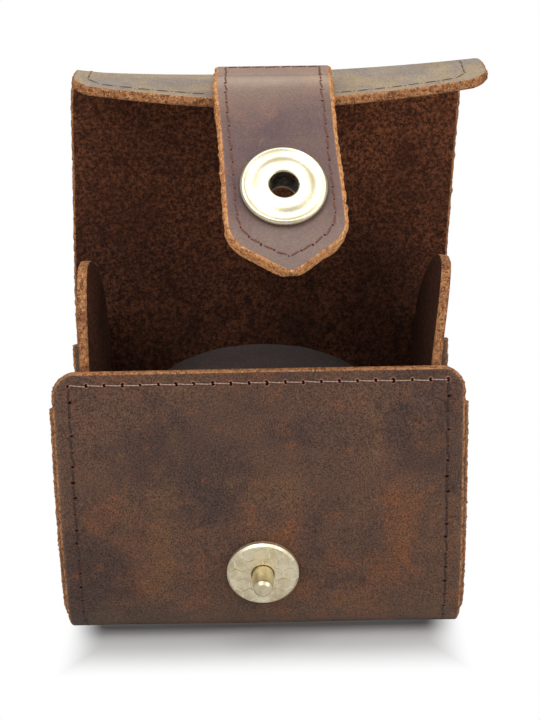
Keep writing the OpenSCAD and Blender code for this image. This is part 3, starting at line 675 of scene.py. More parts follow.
def comb(t, at, centre, across, up):
    """Lines of a honeycomb on a face: 1 on a line and 0 off it. A place's share of the way from the middle
    of its cell to the cell's sides is the greater of |x| and |x| / 2 + |y| sqrt(3) / 2, over both of the
    two grids of cells that lie half a step apart."""
    half_x, half_y = 0.5, 0.75 ** 0.5
    p = t.vectors("SUBTRACT", at, centre)
    flat = t.add("ShaderNodeCombineXYZ", {
        k: t.vectors("DOT_PRODUCT", p, tuple(1000 / CELL * d), out=1) for k, d in enumerate((across, up))})
    shares = []
    for start in ((0, 0, 0), (half_x, half_y, 0)):
        g = t.vectors("WRAP", t.vectors("ADD", flat, start), (half_x, half_y, 1), (-half_x, -half_y, -1))
        g = t.vectors("ABSOLUTE", g)
        a, b = (t.vectors("DOT_PRODUCT", g, d, out=1) for d in ((1, 0, 0), (half_x, half_y, 0)))
        shares.append(t.maths("MAXIMUM", a, b))
    return t.span(t.maths("MINIMUM", *shares), 0.44, 0.475)


def brass(name, colour, dull, rough_low, rough_high, brushed=False, lines=None):
    """Pale brass: slow tarnish, fine scratches, and circles from turning where it is brushed. Where lines
    of a honeycomb are given by their centre and directions, they are bright."""
    t = Surface(name)
    at = t.place()
    tarnish = t.noise(at, 260, 4, 0.6)
    fine = t.noise(t.stretch(at, (1, 1, 0.08)) if brushed else at, 1800, 3, 0.6)
    c = t.mix(t.span(tarnish, 0.40, 0.66), colour, dull)
    c = t.mix(t.span(fine, 0.55, 0.75, 0.0, 0.35), c, dull)
    if lines:
        worn = t.span(t.noise(at, 500, 3, 0.6), 0.35, 0.6, 0.35, 1.0)
        c = t.mix(t.maths("MULTIPLY", comb(t, at, *lines), worn), c, rgb(255, 250, 232))
    return t.done({"Base Color": c, "Metallic": 1.0, "Normal": t.bump(fine, 0.12, 0.00005),
                   "Roughness": t.span(tarnish, 0.35, 0.7, rough_low, rough_high)})


def steel():
    """Plain steel with slow dull clouds."""
    t = Surface("plain_steel")
    c = t.mix(t.span(t.noise(t.place(), 900, 3, 0.6), 0.4, 0.65), rgb(150, 147, 140), rgb(96, 92, 86))
    return t.done({"Base Color": c, "Metallic": 1.0, "Roughness": 0.42})


def suede(name, base, tips):
    """The cushion's microsuede: a short even nap with soft brushed clouds, and painted shade in the seams'
    grooves.
    """
    t = Surface(name)
    nap = t.group("Flesh_side_nap", {"Place": t.place(), "Base": base, "Tips": tips, "Scale": 1.5})
    # painted shade in the seam's groove
    c = t.mix(t.span(t.value("seam"), 0.2, 0.9), nap["Colour"], rgb(22, 17, 17))
    return t.done({"Base Color": c, "Roughness": 0.92, "Sheen Weight": 0.06, "Specular IOR Level": 0.1,
                   "Normal": t.bump(nap["Height"], 0.6, 0.0003)})


# ---- Settings ----

def tint(name, description, default):
    """A colour in the panel."""
    return bpy.props.FloatVectorProperty(
        name=name, description=description, subtype="COLOR", size=4, min=0, max=1, default=default)


def length(name, description, default, least, most, digits=4):
    """A length in the panel, in metres."""
    return bpy.props.FloatProperty(
        name=name, description=description, default=default, min=least, max=most, unit="LENGTH",
        precision=digits)


class CaseColours(bpy.types.PropertyGroup):
    """Colours of the case's leather, thread, metal and cushion"""
    grain: tint("Grain", "The leather's grain side", rgb(88, 64, 52))
    warm: tint("Warm patches", "Where the oil has been pushed away", rgb(118, 73, 45))
    dark: tint("Dark patches", "Where the leather is oiliest", rgb(64, 49, 45))
    flesh: tint("Flesh side", "The leather's inner side", rgb(40, 20, 12))
    thread: tint("Thread", "The thread on the case's front", rgb(182, 152, 136))
    metal: tint("Brass", "The snap's metal", rgb(226, 217, 188))
    cushion: tint("Cushion", "The cushion's suede", rgb(54, 43, 41))


class CaseSizes(bpy.types.PropertyGroup):
    """Sizes of the details that the solids leave out"""
    edge_round: length("Edge rounding", "How far a cut edge is rounded", 0.0005, 0.0001, 0.001)
    fray: length("Fraying", "How rough the cut edges are", 0.00011, 0, 0.0003, 5)
    stitch: length("Stitch", "Distance from hole to hole in the case's seams", 0.0039, 0.002, 0.006)
    strap_stitch: length("Strap stitch", "Distance from hole to hole on the strap", 0.003, 0.002, 0.005)
    thread: length("Thread", "Thickness of the thread", 0.00042, 0.0002, 0.001, 5)
    wrinkle: length("Cushion wrinkles", "Depth of the cushion's puckers at its seams", 0.00012, 0, 0.002)


def chosen(name):
    """A colour of the panel."""
    return tuple(getattr(bpy.context.scene.case_colours, name))


def size(name):
    """A size of the panel in millimetres."""
    return getattr(bpy.context.scene.case_sizes, name) * 1000


def kept(name, make, *values):
    """The material of this name, made at its first use."""
    return bpy.data.materials.get(name) or make(name, *values)


def case_leather():
    """Brown pull-up leather of the strip and the side panels."""
    return kept(
        "pull_up_leather", leather,
        {"Base": chosen("grain"), "Warm": chosen("warm"), "Dark": chosen("dark"),
         "Pale": rgb(174, 156, 128), "Ochre": rgb(104, 76, 52), "Grey": rgb(150, 141, 136)},
        {"Base": chosen("flesh"), "Tips": rgb(134, 80, 52)},
        {"Tan": rgb(184, 126, 80), "Red": rgb(104, 56, 36), "Pale": rgb(220, 176, 130)})


def strap_leather():
    """The strap's paler and greyer leather, with a little wax and orange edges."""
    return kept(
        "strap_leather", leather,
        {"Base": rgb(110, 88, 83), "Warm": rgb(134, 100, 86), "Dark": rgb(92, 74, 77),
         "Pale": rgb(188, 162, 138), "Ochre": rgb(122, 94, 84), "Grey": rgb(168, 150, 136)},
        {"Base": chosen("flesh"), "Tips": rgb(118, 70, 46)},
        {"Tan": rgb(224, 158, 98), "Red": rgb(164, 94, 54), "Pale": rgb(248, 210, 158)}, 0.3, 0.08)


# Colours at a row of stitches: the thread and its groove's painted shade, the pit's painted shade for the
# hole, the lip and its mottling
THREADS = {
    "front": (None, (128, 98, 84), (22, 13, 10), (150, 102, 84), (116, 78, 64)),
    "seam": ((60, 38, 29), (40, 25, 20), (26, 16, 12), (106, 68, 52), (78, 54, 44)),
    "edge": ((118, 92, 80), (84, 64, 56), (92, 74, 64), (160, 144, 124), (136, 118, 102)),
    "strap": ((128, 76, 60), (96, 58, 48), (66, 40, 34), (134, 98, 82), (108, 84, 76))}


def thread_kit(kind):
    """Thread, pit and lip materials of a row of stitches; the pit is painted shade for the hole. The
    front's thread has the panel's colour.
    """
    thread, groove, pit_shade, lip, mottling = (c and rgb(*c) for c in THREADS[kind])
    return (kept("thread_" + kind, plain_thread, thread or chosen("thread"), groove),
            # painted shade: the pit is a dark colour standing in for the stitch hole's shade
            kept("stitch_pit_" + kind, flat_leather, pit_shade, pit_shade, 1.0),
            kept("stitch_lip_" + kind, flat_leather, lip, mottling, 0.75))


# ---- The strips of leather ----

def wrap_strip():
    """The whole strip's line, the case's and then the lid's, with its fold rounded over 3 mm each way."""
    line = np.concatenate([CASE_LINE, lid_line()])
    line = line[np.concatenate([[True], np.linalg.norm(np.diff(line, axis=0), axis=1) > 1e-6])]
    return side_strip(soften(line, U_FOLD, 3.0), wrap_lift)


# The strap's tip below the snap's centre, and how far short of its bend's ends its flat parts stop
TIP_V, SHORT = 0.9 - TIP_L, 2.2


def pointed_half(v):
    """Half the strap's width at a height v: straight sides, a round shoulder, then a slow curve to the
    tip, each curve led by three points."""
    half, shoulder = STRAP_W / 2, TIP_V + POINT_L
    a, b, c, d, e = np.array([
        (half, shoulder + 3), (half, shoulder - 1), (half * 0.6, (shoulder + TIP_V) / 2 + 0.5),
        (half * 0.2, TIP_V + 0.9), (0, TIP_V)])
    t = np.linspace(0, 1, 40)[:, None]
    curve = np.concatenate([drawn(t, a, b, c), drawn(t, c, d, e)])[::-1]
    return np.interp(v, curve[:, 1], curve[:, 0])


def tongue_frame():
    """The open strap's snap centre, between its two layers, and its directions across, up and out."""
    origin = strap_opened(TONGUE)
    return (origin, *(strap_opened(TONGUE + d) - origin for d in (PRESS_AXIS, STRAP_UP, STRAP_OUT)))


def strap_strip(wrap):
    """The strap's whole length, in the plane between its two layers: sewn on the flap, round its bend on a
    curve led by the directions at both ends, then flat to its tip. Gives the strip, and the lengths at
    which the flap ends, the bend's middle, the strap proper begins and the snap's centre lies."""
    sewn_n, bend_n, flat_n = 90, 58, 160
    over = WALL / 2 + SEWN + LAYER
    u = np.linspace(U_END - ANCHOR_L, U_END - SHORT, sewn_n)
    sewn = wrap.place(u, STRAP_X, over)
    sewn_across = unit(wrap.place(u, STRAP_X + 6, over) - wrap.place(u, STRAP_X - 6, over))
    origin, across, up, out = tongue_frame()
    top = SNAP_DROP - SHORT
    flat = origin + np.linspace(top, TIP_V, flat_n)[:, None] * up
    a, b = sewn[-1], flat[0]
    reach = np.linalg.norm(b - a)
    t = np.linspace(0, 1, bend_n + 2)[1:-1, None]
    ta, tb = unit(sewn[-1] - sewn[-2]) * reach * 0.55, -up * reach * 1.2
    bend = (1 - ease(t)) * a + (t ** 3 - 2 * t ** 2 + t) * ta + ease(t) * b + (t ** 3 - t ** 2) * tb
    bend_across = unit((1 - ease(t)) * sewn_across[-1] + ease(t) * across)
    run = np.gradient(np.concatenate([[a], bend, [b]]), axis=0)[1:-1]
    outs = np.concatenate([wrap.outward(u, np.full_like(u, STRAP_X)), unit(np.cross(run, bend_across)),
                           np.tile(out, (flat_n, 1))])
    for _ in range(6):
        outs[1:-1] = unit(outs[:-2] + outs[1:-1] + outs[2:])
    strip = Strip(np.concatenate([sewn, bend, flat]),
                  np.concatenate([sewn_across, bend_across, np.tile(across, (flat_n, 1))]), outs)
    begin = strip.u[sewn_n + bend_n]
    return strip, {"flap": strip.u[sewn_n - 1], "middle": strip.u[sewn_n + bend_n // 2], "strap": begin,
                   "end": strip.u[-1], "snap": begin + top}


# ---- Operators ----

class CASE_OT_wrap(bpy.types.Operator):
    """Make the strip of leather that is the front, base, back, lid and flap"""
    bl_idname = "case.wrap"
    bl_label = "Wrap, lid and flap"

    def execute(self, context):
        corner = np.linspace(0, CORNER_CUT, 24)
        u = np.unique(np.concatenate([crowded(0, U_END, 0.5, [U_FOLD], 5, 0.4), corner, U_END - corner]))
        columns = crowded(-HALF_W, HALF_W, 1.9, [-HALF_W + 1, HALF_W - 1], 1.2, 0.6)

        def pull(u, x):
            """Paler where the leather is bent or rubbed, as pull-up leather pales: the flap's top, its
            bend, the base's corners and close to the cut edges. On the flap's top the paling is also
            painted sheen."""
            left, right = wrap_sides(u)
            # the flap's top term, 0.85 past the bend, is painted sheen; the fold, corner and edge terms are
            # pull-up paling and rubbing
            return np.clip(np.maximum.reduce([
                np.exp(-np.minimum(x - left, right - x) / 0.5) * 0.3, ease((u - U_BEND - 5) / 8) * 0.85,
                0.5 * bell((u - U_FOLD) / 3.2), 0.12 * bell((u - CASE_H + 1) / 8.0)]), 0, 1)

        def light(u, x):
            """Painted light on the lid's inside, brighter towards its top and its right, and painted shade
            at its foot.
            """
            up = (u - U_FOLD) / (U_BEND - U_FOLD)
            # painted light and shade: up to 0.8 brighter up the lid and more to its right, 0.12 darker at
            # its foot
            lit = 0.8 * ease(up / 0.9) + 0.55 * ease(up) * ease(x / 30) - 0.12
            return np.where((u > U_FOLD - 20) & (u < U_BEND + 12), lit, 0.0)

        points, faces, fields = sheet_mesh(
            wrap_strip(), u, wrap_sides, -WALL / 2, WALL / 2, columns, rough=size("fray"),
            round_r=size("edge_round"), pull=pull, light=light, seed=11)
        obj = piece("wrap_leather", points, faces, fields, [case_leather()])
        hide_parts("wrap_body", "lid_flap")
        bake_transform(obj)
        return {"FINISHED"}


class CASE_OT_sides(bpy.types.Operator):
    """Make the two side panels with their ears, and the flanges that sew them to the strip"""
    bl_idname = "case.sides"
    bl_label = "Side panels and ears"

    def execute(self, context):
        for name, side, splay in (("left", -1, 0.0), ("right", 1, 5.0)):
            self.panel(name, side, splay)
            self.flange(name, side)
        return {"FINISHED"}

    def panel(self, name, side, splay):
        """The panel's plane stands at EAR_X, and above the fold leans out by the splay and bows a little.
        Its edges follow the walls below, and the ear's curve above: its front share of a fifth rises as
        (1 - (1 - s) cubed) to the third, the rest falls as (1 - s to the 1.5) to the 0.69."""
        inner = walls(WALL + SEWN, EAR_Z, EAR_Z)
        low, half, front = inner[:, 1].min(), len(inner) // 2, 0.2
        z = np.unique(np.concatenate([
            low + 0.01 + np.linspace(0, 1, 40) ** 2 * 9, np.arange(low + 9, EAR_Z + EAR_H - 0.01, 0.8),
            EAR_Z + EAR_H * (1 - np.linspace(0.12, 0, 20)[:-1] ** 2), [EAR_Z + EAR_H * 0.9995]]))
        y1, y2 = WALL + EAR_FRONT, CASE_D - WALL - EAR_BACK
        share = np.clip((z - EAR_Z) / EAR_H, 0, 1)
        ear1 = y1 + (y2 - y1) * front * (1 - np.clip(1 - share ** 3, 0, 1) ** (1 / 3))
        ear2 = y1 + (y2 - y1) * (front + (1 - front) * np.clip(1 - share ** (1 / 0.69), 0, 1) ** (1 / 1.5))
        wall1, wall2 = (np.interp(z, *part[np.argsort(part[:, 1])].T[::-1])
                        for part in (inner[:half + 1], inner[half:]))
        k = ease((z - EAR_Z + 2.4) / 2.4)
        yf, yb = wall1 + (ear1 - wall1) * k, wall2 + (ear2 - wall2) * k
        over = np.maximum(z - EAR_Z, 0)
        bow = -0.5 * np.sin(np.pi * np.clip((z - 8) / (EAR_Z - 8), 0, 1))
        curl = -0.9 * ease((z - 36) / 30) - 0.006 * over if side < 0 else 0.006 * over ** 1.5
        x = EAR_X + over * sin(splay) + bow + curl
        height = np.where(z > EAR_Z, EAR_Z + over * cos(splay), z)
        centres = np.stack([side * x, np.full_like(z, Y0), height], 1)
        across = np.tile([0.0, -side, 0], (len(z), 1))
        strip = Strip(centres, across, unit(np.cross(np.gradient(centres, axis=0), across)))
        u = strip.u

        def sides(at):
            a, b = np.interp(at, u, yf), np.interp(at, u, yb)
            return (a, b) if side < 0 else (-b, -a)

        def pull(at, x):
            return 0.4 * bell((np.interp(at, u, z) - EAR_Z) / 1.6)

        points, faces, fields = sheet_mesh(
            strip, u, sides, -GUSSET_T / 2, GUSSET_T / 2, np.linspace(-1, 1, 60),
            rough=size("fray") * 1.4, round_r=size("edge_round"), pull=pull, seed=21 + side)
        obj = piece(name + "_panel_leather", points, faces, fields, [case_leather()])
        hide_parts(name + "_gusset", name + "_ear")
        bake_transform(obj)

    def flange(self, name, side):
        """Along the walls' inner face: from the strip's edge in, then a quarter turn into the panel."""
        top, outer, r = CASE_H - FLANGE_DROP, HALF_W + FLANGE_OUT, FLANGE_TURN
        path = side_strip(walls(WALL + SEWN + GUSSET_T / 2, top, top))
        u = crowded(0, path.u[-1], 0.5)
        turn = np.linspace(0, 90, 8)[1:]
        line = np.concatenate([
            np.stack([np.linspace(outer, EAR_X + r, 6), np.zeros(6)], 1),
            np.stack([EAR_X + r - r * sin(turn), -r + r * cos(turn)], 1),
            [[EAR_X, -r - 1], [EAR_X, -r - 2.2]]])
        run = unit(np.gradient(line, axis=0))
        square = np.stack([-run[:, 1], run[:, 0]], 1)
        m = len(line)
        half = np.full(m, GUSSET_T / 2 - 0.03)
        half[-2:] = [0.9, 0.3]
        # the outer side, the inner side, and the three points of the rounded edge between them
        around = np.concatenate([line + square * half[:, None], (line - square * half[:, None])[::-1],
                                 [[outer + 0.35, 0.55], [outer + 0.5, 0], [outer + 0.35, -0.55]]])
        rows, ring = len(u), len(around)
        x = np.tile(around[:, 0], (rows, 1))
        x[:, -3:] += np.random.default_rng(31 + side).normal(0, size("fray") * 0.7, (rows, 3))
        points = path.place(u[:, None], side * x, around[:, 1])
        cap = [[a, a + 1, 2 * m - 2 - a, 2 * m - 1 - a] for a in range(m - 1)]
        cap.append([2 * m - 1, 2 * m, 2 * m + 1, 2 * m + 2, 0])
        faces = between_rings(rows, ring).tolist() + [c[::-1] for c in cap]
        faces += [[(rows - 1) * ring + v for v in c] for c in cap]
        cut = np.zeros(x.shape)
        cut[:, -3:] = 1
        cut[:, [0, m * 2 - 1]] = 0.5
        cut[[0, -1]] = 1
        none = np.zeros(x.size)
        obj = piece(name + "_flange_leather", points.reshape(-1, 3), faces, {
            "cut": cut.ravel(), "flesh": none, "pull": none + 0.1, "light": none}, [case_leather()])
        turn_outwards(obj)
        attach(obj, "case")


class CASE_OT_strap(bpy.types.Operator):
    """Make the strap's two layers, each in two parts that meet in the middle of its bend"""
    bl_idname = "case.strap"
    bl_label = "Strap"

    def execute(self, context):
        strip, marks = strap_strip(wrap_strip())
        mid, end = marks["middle"], marks["end"]

        def pull(u, x):
            """Paler round the bend over the flap's edge and on the sewn end, partly pull-up and partly a
            painted highlight, and paler towards the tip and along the strap's sides.
            """
            # the bend and sewn-end terms are painted highlight as well as pull-up paling
            bend = 0.6 * bell((u - marks["flap"] - 1.0) / 2.2) + 0.35 * ease((marks["strap"] + 2 - u) / 12)
            edge = np.exp(-(STRAP_W / 2 - np.abs(x)) / 0.6) * 0.3
            return np.clip(np.maximum.reduce([bend, 0.28 * ease((u - marks["snap"] - 2) / 12), edge]), 0, 1)

        def light(u, x):
            """Painted light on the sewn end, as if lit from above, and a painted shade line in the crease
            where the strap leaves the flap's edge.
            """
            # painted shade in the crease, and painted light on the sewn end
            crease = bell((u - marks["flap"] + 1.2) / 0.45)
            return 0.22 * ease((marks["flap"] - u) / 2) - 0.3 * crease * (np.abs(x) < STRAP_W / 2 - 0.4)

        def pressed(u):
            """The lining's inner face, pressed thin where it bends over the flap's edge."""
            return PRESSED * bell((u - mid - 0.6) / 2.6) - LAYER

        def sides(u, narrower=0.0):
            v = marks["snap"] - u
            half = (np.where(v > 0, STRAP_W / 2, pointed_half(v)) + 0.12 * np.sin(u / 5.3)) * (1 - narrower)
            return -half, half

        upper = crowded(0, mid, 0.4, [mid], 1.5, 0.12)
        lower = np.unique(np.concatenate([
            crowded(mid, end, 0.45, [mid], 1.5, 0.12), end - np.linspace(0, 3, 22)]))
        made = {}
        # the lining ends a little above the outer layer's tip, and is a little narrower
        for name, low, high, flesh, short, lit, slot in (
                ("outer", 0.0, LAYER, (0, 1), 0.0, light, "grain_leather"),
                ("lining", pressed, -SEWN, (1, 1), 0.9, None, "suede_leather")):
            for part, u, ends in (("sewn", upper, (True, False)),
                                  ("hanging", lower[lower <= end - short], (False, True))):
                points, faces, fields = sheet_mesh(
                    strip, u, lambda v, s=short: sides(v, s * 0.012), low, high, np.linspace(-1, 1, 46),
                    flesh=flesh, rough=size("fray") * 1.6, round_r=size("edge_round") * 1.5, ends=ends,
                    pull=pull, light=lit, seed=41 + len(made))
                obj = piece(f"strap_{name}_{part}", points, faces, fields, [strap_leather()])
                if part == "hanging":
                    self.bore(obj, strip, marks["snap"])
                made[name, part] = obj
        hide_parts("strap_anchor")
        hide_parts("strap_outer", "strap_bend")
        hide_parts("strap_lining")
        p = {k: strip.place(v, 0, 0) / 1000 for k, v in marks.items()}
        for (name, part), obj in made.items():
            if part == "sewn":
                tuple(p["flap"])
                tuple(p["middle"])
                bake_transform(obj)
            else:
                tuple(p["middle"])
                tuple(p["strap"])
                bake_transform(obj)
        return {"FINISHED"}

    def bore(self, obj, strip, at):
        """Cuts the hole that the socket's barrel goes through."""
        centre = strip.place(at, 0.0, 0.0)
        out, across = unit(strip.at(strip.out, at)), unit(strip.at(strip.across, at))
        sides, deep = 48, 6
        a = np.linspace(0, 360, sides, endpoint=False)[:, None]
        ring = (cos(a) * across + sin(a) * np.cross(out, across)) * HOLE_D / 2
        points = np.concatenate([centre + ring - out * deep, centre + ring + out * deep])
        faces = between_rings(2, sides, True).tolist()
        faces += [list(range(sides))[::-1], list(range(sides, 2 * sides))]
        mesh = bpy.data.meshes.new("bore")
        mesh.from_pydata((points / 1000).tolist(), [], faces)
        tool = bpy.data.objects.new("bore", mesh)
        bpy.context.scene.collection.objects.link(tool)
        cut = obj.modifiers.new("bore", "BOOLEAN")
        cut.operation, cut.solver, cut.object = "DIFFERENCE", "EXACT", tool
        bpy.context.view_layer.update()
        graph = bpy.context.evaluated_depsgraph_get()
        done = bpy.data.meshes.new_from_object(obj.evaluated_get(graph))
        if len(done.polygons) < 100:
            raise RuntimeError("the strap's bore couldn't be cut")
        obj.modifiers.clear()
        obj.data = done
        bpy.data.objects.remove(tool)


class CASE_OT_stitches(bpy.types.Operator):
    """Sew the case's seams, the flap's edge and the strap"""
    bl_idname = "case.stitches"
    bl_label = "Stitches"

    def execute(self, context):
        wrap = wrap_strip()
        pitch, face, row_x = size("stitch"), WALL / 2, HALF_W - SIDE_ROW

        rows = [row(wrap, HEM_ROW, np.linspace(-row_x, row_x, 200), face, pitch)]
        obj = sew("hem_stitches", "hem_thread", rows, "front",
                  size("thread") * 0.66, 0.2, 0.44, 0.95, -0.1, 0.05)
        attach(obj, "case")

        # up the front and up the back, past the walls' corners
        for name, side in (("left", -1), ("right", 1)):
            rows = [row(wrap, np.linspace(a, b, 200), side * row_x, face, pitch * 0.95)
                    for a, b in ((HEM_ROW, 73.0), (U_FOLD - 73.0, U_FOLD - 7.0))]
            obj = sew(name + "_seam_stitches", name + "_seam_thread", rows, "seam",
                      0.42, 0.1, 0.31, 0.85, 0.1, 0.12)
            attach(obj, "case")

        # up the lid's sides, round the flap's corners and along its end to the strap
        rows, turn = [], 2.8
        for side in (-1, 1):
            u = np.linspace(U_FOLD + 4, U_END - FLAP_ROW - turn, 300)
            rows.append(row(wrap, u, wrap_centre(u) + side * row_x, face, pitch))
            a, b = wrap_centre(U_END) + side * row_x, STRAP_X + side * (STRAP_W / 2 + 1.4)
            q = np.linspace(0, 1, 120)
            rows.append(row(wrap, U_END - FLAP_ROW - turn * ease(1 - q * 12), a + (b - a) * q, face, pitch))
        obj = sew("lid_stitches", "lid_thread", rows, "edge", 0.32, 0.12, 0.2, 0.72, 0.05, 0.07)
        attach(obj, "lid")

        strip, marks = strap_strip(wrap)
        p = {k: strip.place(v, 0, 0) / 1000 for k, v in marks.items()}
        pitch, half, first = size("strap_stitch"), STRAP_W / 2 - STRAP_ROW, 1.5
        thread = (0.36, 0.14, 0.2, 0.78, 0.16, 0.07)
        rows = [row(strip, first, np.linspace(-half, half, 60), LAYER, pitch)]
        for side in (-1, 1):
            rows.append(row(strip, np.linspace(first, marks["middle"], 60), side * half, LAYER, pitch))
        obj = sew("anchor_stitches", "anchor_thread", rows, "strap", *thread)
        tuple(p["flap"])
        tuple(p["middle"])
        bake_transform(obj)

        # down one side, round the point and up the other: the point's row is smoothed over 17 places
        last = 4.4 - TIP_L
        down = np.linspace(marks["snap"] - marks["middle"], last, 200)
        x = np.minimum(half, np.maximum(0, pointed_half(down - 1.7) - 2.4))
        x = np.convolve(np.pad(x, 8, "edge"), np.ones(17) / 17, "valid") * ease((down - last) / 2.2) ** 0.5
        v, x = np.concatenate([down, down[-2::-1]]), np.concatenate([-x, x[-2::-1]])
        rows = [row(strip, marks["snap"] - v, x, LAYER, pitch)]
        obj = sew("strap_stitches", "strap_thread", rows, "strap", *thread)
        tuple(p["middle"])
        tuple(p["strap"])
        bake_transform(obj)
        return {"FINISHED"}


class CASE_OT_snap(bpy.types.Operator):
    """Finish the stud, its pin and washer, and the socket in brass and steel"""
    bl_idname = "case.snap"
    bl_label = "Stud and socket"

    def execute(self, context):
        inside = np.array(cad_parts["stud_cap"].matrix_world.inverted())
        centre = inside[:3, :3] @ (np.array([SNAP_X, Y0 + STUD_Y, STUD_Z]) / 1000) + inside[:3, 3]
        across, up = (inside[:3, :3] @ d for d in ([1, 0, 0], [0, -sin(STUD_LEAN), cos(STUD_LEAN)]))
        stud = brass("stud_brass", rgb(246, 235, 204), rgb(218, 202, 168), 0.42, 0.56, brushed=True,
                     lines=(centre, across, up))
        pin = brass("pin_brass", rgb(232, 220, 188), rgb(196, 178, 140), 0.3, 0.45, brushed=True)
        plain = steel()
        self.socket(brass("socket_brass", chosen("metal"), rgb(208, 196, 162), 0.24, 0.34))
        for node, material in (
                ("stud_cap", stud), ("stud_pin", pin), ("stud_washer", plain),
                ("socket_barrel", plain), ("socket_magnet", plain), ("socket_plate", stud)):
            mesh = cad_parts[node].data
            mesh.materials.clear()
            mesh.materials.append(material)
        return {"FINISHED"}

    def socket(self, material):
        """The socket's ring, turned about its axis: flat round the bore, a shallow valley about r = 7.2
        that is VALLEY exp(-((r - 7.2) / 1.5) squared) deep, and a rolled rim on an ellipse's arc."""
        origin, across, up, out = tongue_frame()
        bore, rim, roll_r, low, sides = BORE_D / 2, RING_D / 2, 0.85, 0.02, 96
        r = np.linspace(bore + 0.35, rim - roll_r, 22)
        a = np.linspace(12, 140, 12)
        line = np.concatenate([
            [[bore, low], [bore, RING_H - 0.4], [bore + 0.1, RING_H - 0.15]],
            np.stack([r, RING_H - VALLEY * bell((r - 7.2) / 1.5)], 1),
            np.stack([rim - roll_r + roll_r * sin(a), RING_H / 2 + (RING_H / 2 - 0.15) * cos(a)], 1),
            [[rim - 1.2, low]]])
        turn = np.linspace(0, 360, sides, endpoint=False)[:, None]
        spoke = cos(turn) * across + sin(turn) * up
        points = origin + out * (LAYER + SEWN) + line[:, None, :1] * spoke[None] + line[:, None, 1:] * out
        faces = (between_rings(len(line) + 1, sides, True) % (len(line) * sides)).tolist()
        obj = piece("socket_ring_rolled", points.reshape(-1, 3), faces, {}, [material])
        turn_outwards(obj)
        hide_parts("socket_ring")
        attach(obj, "strap")


class CASE_OT_cushion(bpy.types.Operator):
    """Make the loose cushion: a suede band, drawn in at its ends, round two end panels"""
    bl_idname = "case.cushion"
    bl_label = "Cushion"

    def execute(self, context):
        points, seam = self.skin(144)
        rows, around = points.shape[:2]
        ring = list(range(around))
        faces = between_rings(rows, around, True).tolist()
        faces += [ring, [(rows - 1) * around + v for v in ring[::-1]]]
        obj = piece("cushion_suede", points.reshape(-1, 3), faces, {"seam": np.repeat(seam, around)},
                    [suede("cushion_microsuede", chosen("cushion"), rgb(96, 79, 75))])
        turn_outwards(obj)
        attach(obj, "cushion")
        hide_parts("cushion_band", "cushion_front", "cushion_back", "cushion_foam")
        return {"FINISHED"}

    def skin(self, around):
        """Rings of points and each ring's share of the seam. At a share w of its length the band's section
        is an oval, x = W c to the power 2 / OVAL and z the same with s, drawn in towards both ends. The
        end panels carry on from the seam, domed by 1 - r squared, and the seam is a narrow groove with
        puckers across it."""
        angle = np.linspace(0, 360, around, endpoint=False)
        w = (1 - cos(np.linspace(0, 180, 61))) / 2
        y = (CASE_D - CUSHION_L) / 2 + w * CUSHION_L
        r = CORNER_R - WALL - LOOSE - 0.1
        d = np.maximum(np.maximum(CORNER_Y - y, y - CASE_D + CORNER_Y), 0)
        low = CORNER_R - np.sqrt(np.maximum(0, r * r - d * d))
        narrower = DRAW_IN * (1 - (1 - np.abs(2 * w - 1) ** 3) ** 0.6)
        half_w, half_h = CUSHION_W / 2 - narrower, (WALL + LOOSE + CUSHION_H - narrower - low) / 2
        oval_x, oval_z = (np.sign(q) * np.abs(q) ** (2 / OVAL) for q in (cos(angle), sin(angle)))
        off = np.minimum(w, 1 - w) * CUSHION_L
        near = np.exp(-off / 5.0)[:, None]
        pucker = 1 - size("wrinkle") / 30 * near * (sin(angle * 23) + 0.6 * sin(angle * 37 + 40))
        slack = 1 - 0.010 * (1 - near) * (1 + sin(angle * 3 + 25)) / 2
        x = half_w[:, None] * oval_x * pucker * slack
        z = (low + half_h)[:, None] + half_h[:, None] * oval_z * pucker * slack
        band = np.stack([x, np.broadcast_to((Y0 + y)[:, None], x.shape), z], -1)
        # the panels' rings from the seam to the middle, the groove's depth there and the seam's share
        shares = np.array([0.985, 0.97, 0.95, 0.9, 0.8, 0.65, 0.45, 0.25, 0.08])
        groove = np.array([1.0, 1.1, 0.5, 0, 0, 0, 0, 0, 0])
        mark = np.array([1, 1, 0.5, 0, 0, 0, 0, 0, 0])
        panels = []
        for last, out in ((0, -1), (-1, 1)):
            centre = np.array([0, Y0 + y[last], low[last] + half_h[last]])
            panel = centre + (band[last] - centre) * shares[:, None, None]
            # the dome stays within the band's length, so the panel starts set in by its own height
            panel[..., 1] -= out * (DOME * shares ** 2 + groove)[:, None] * 0.8
            panels.append(panel)
        return (np.concatenate([panels[0][::-1], band, panels[1]]),
                np.concatenate([mark[::-1], np.exp(-off / 0.5), mark]))


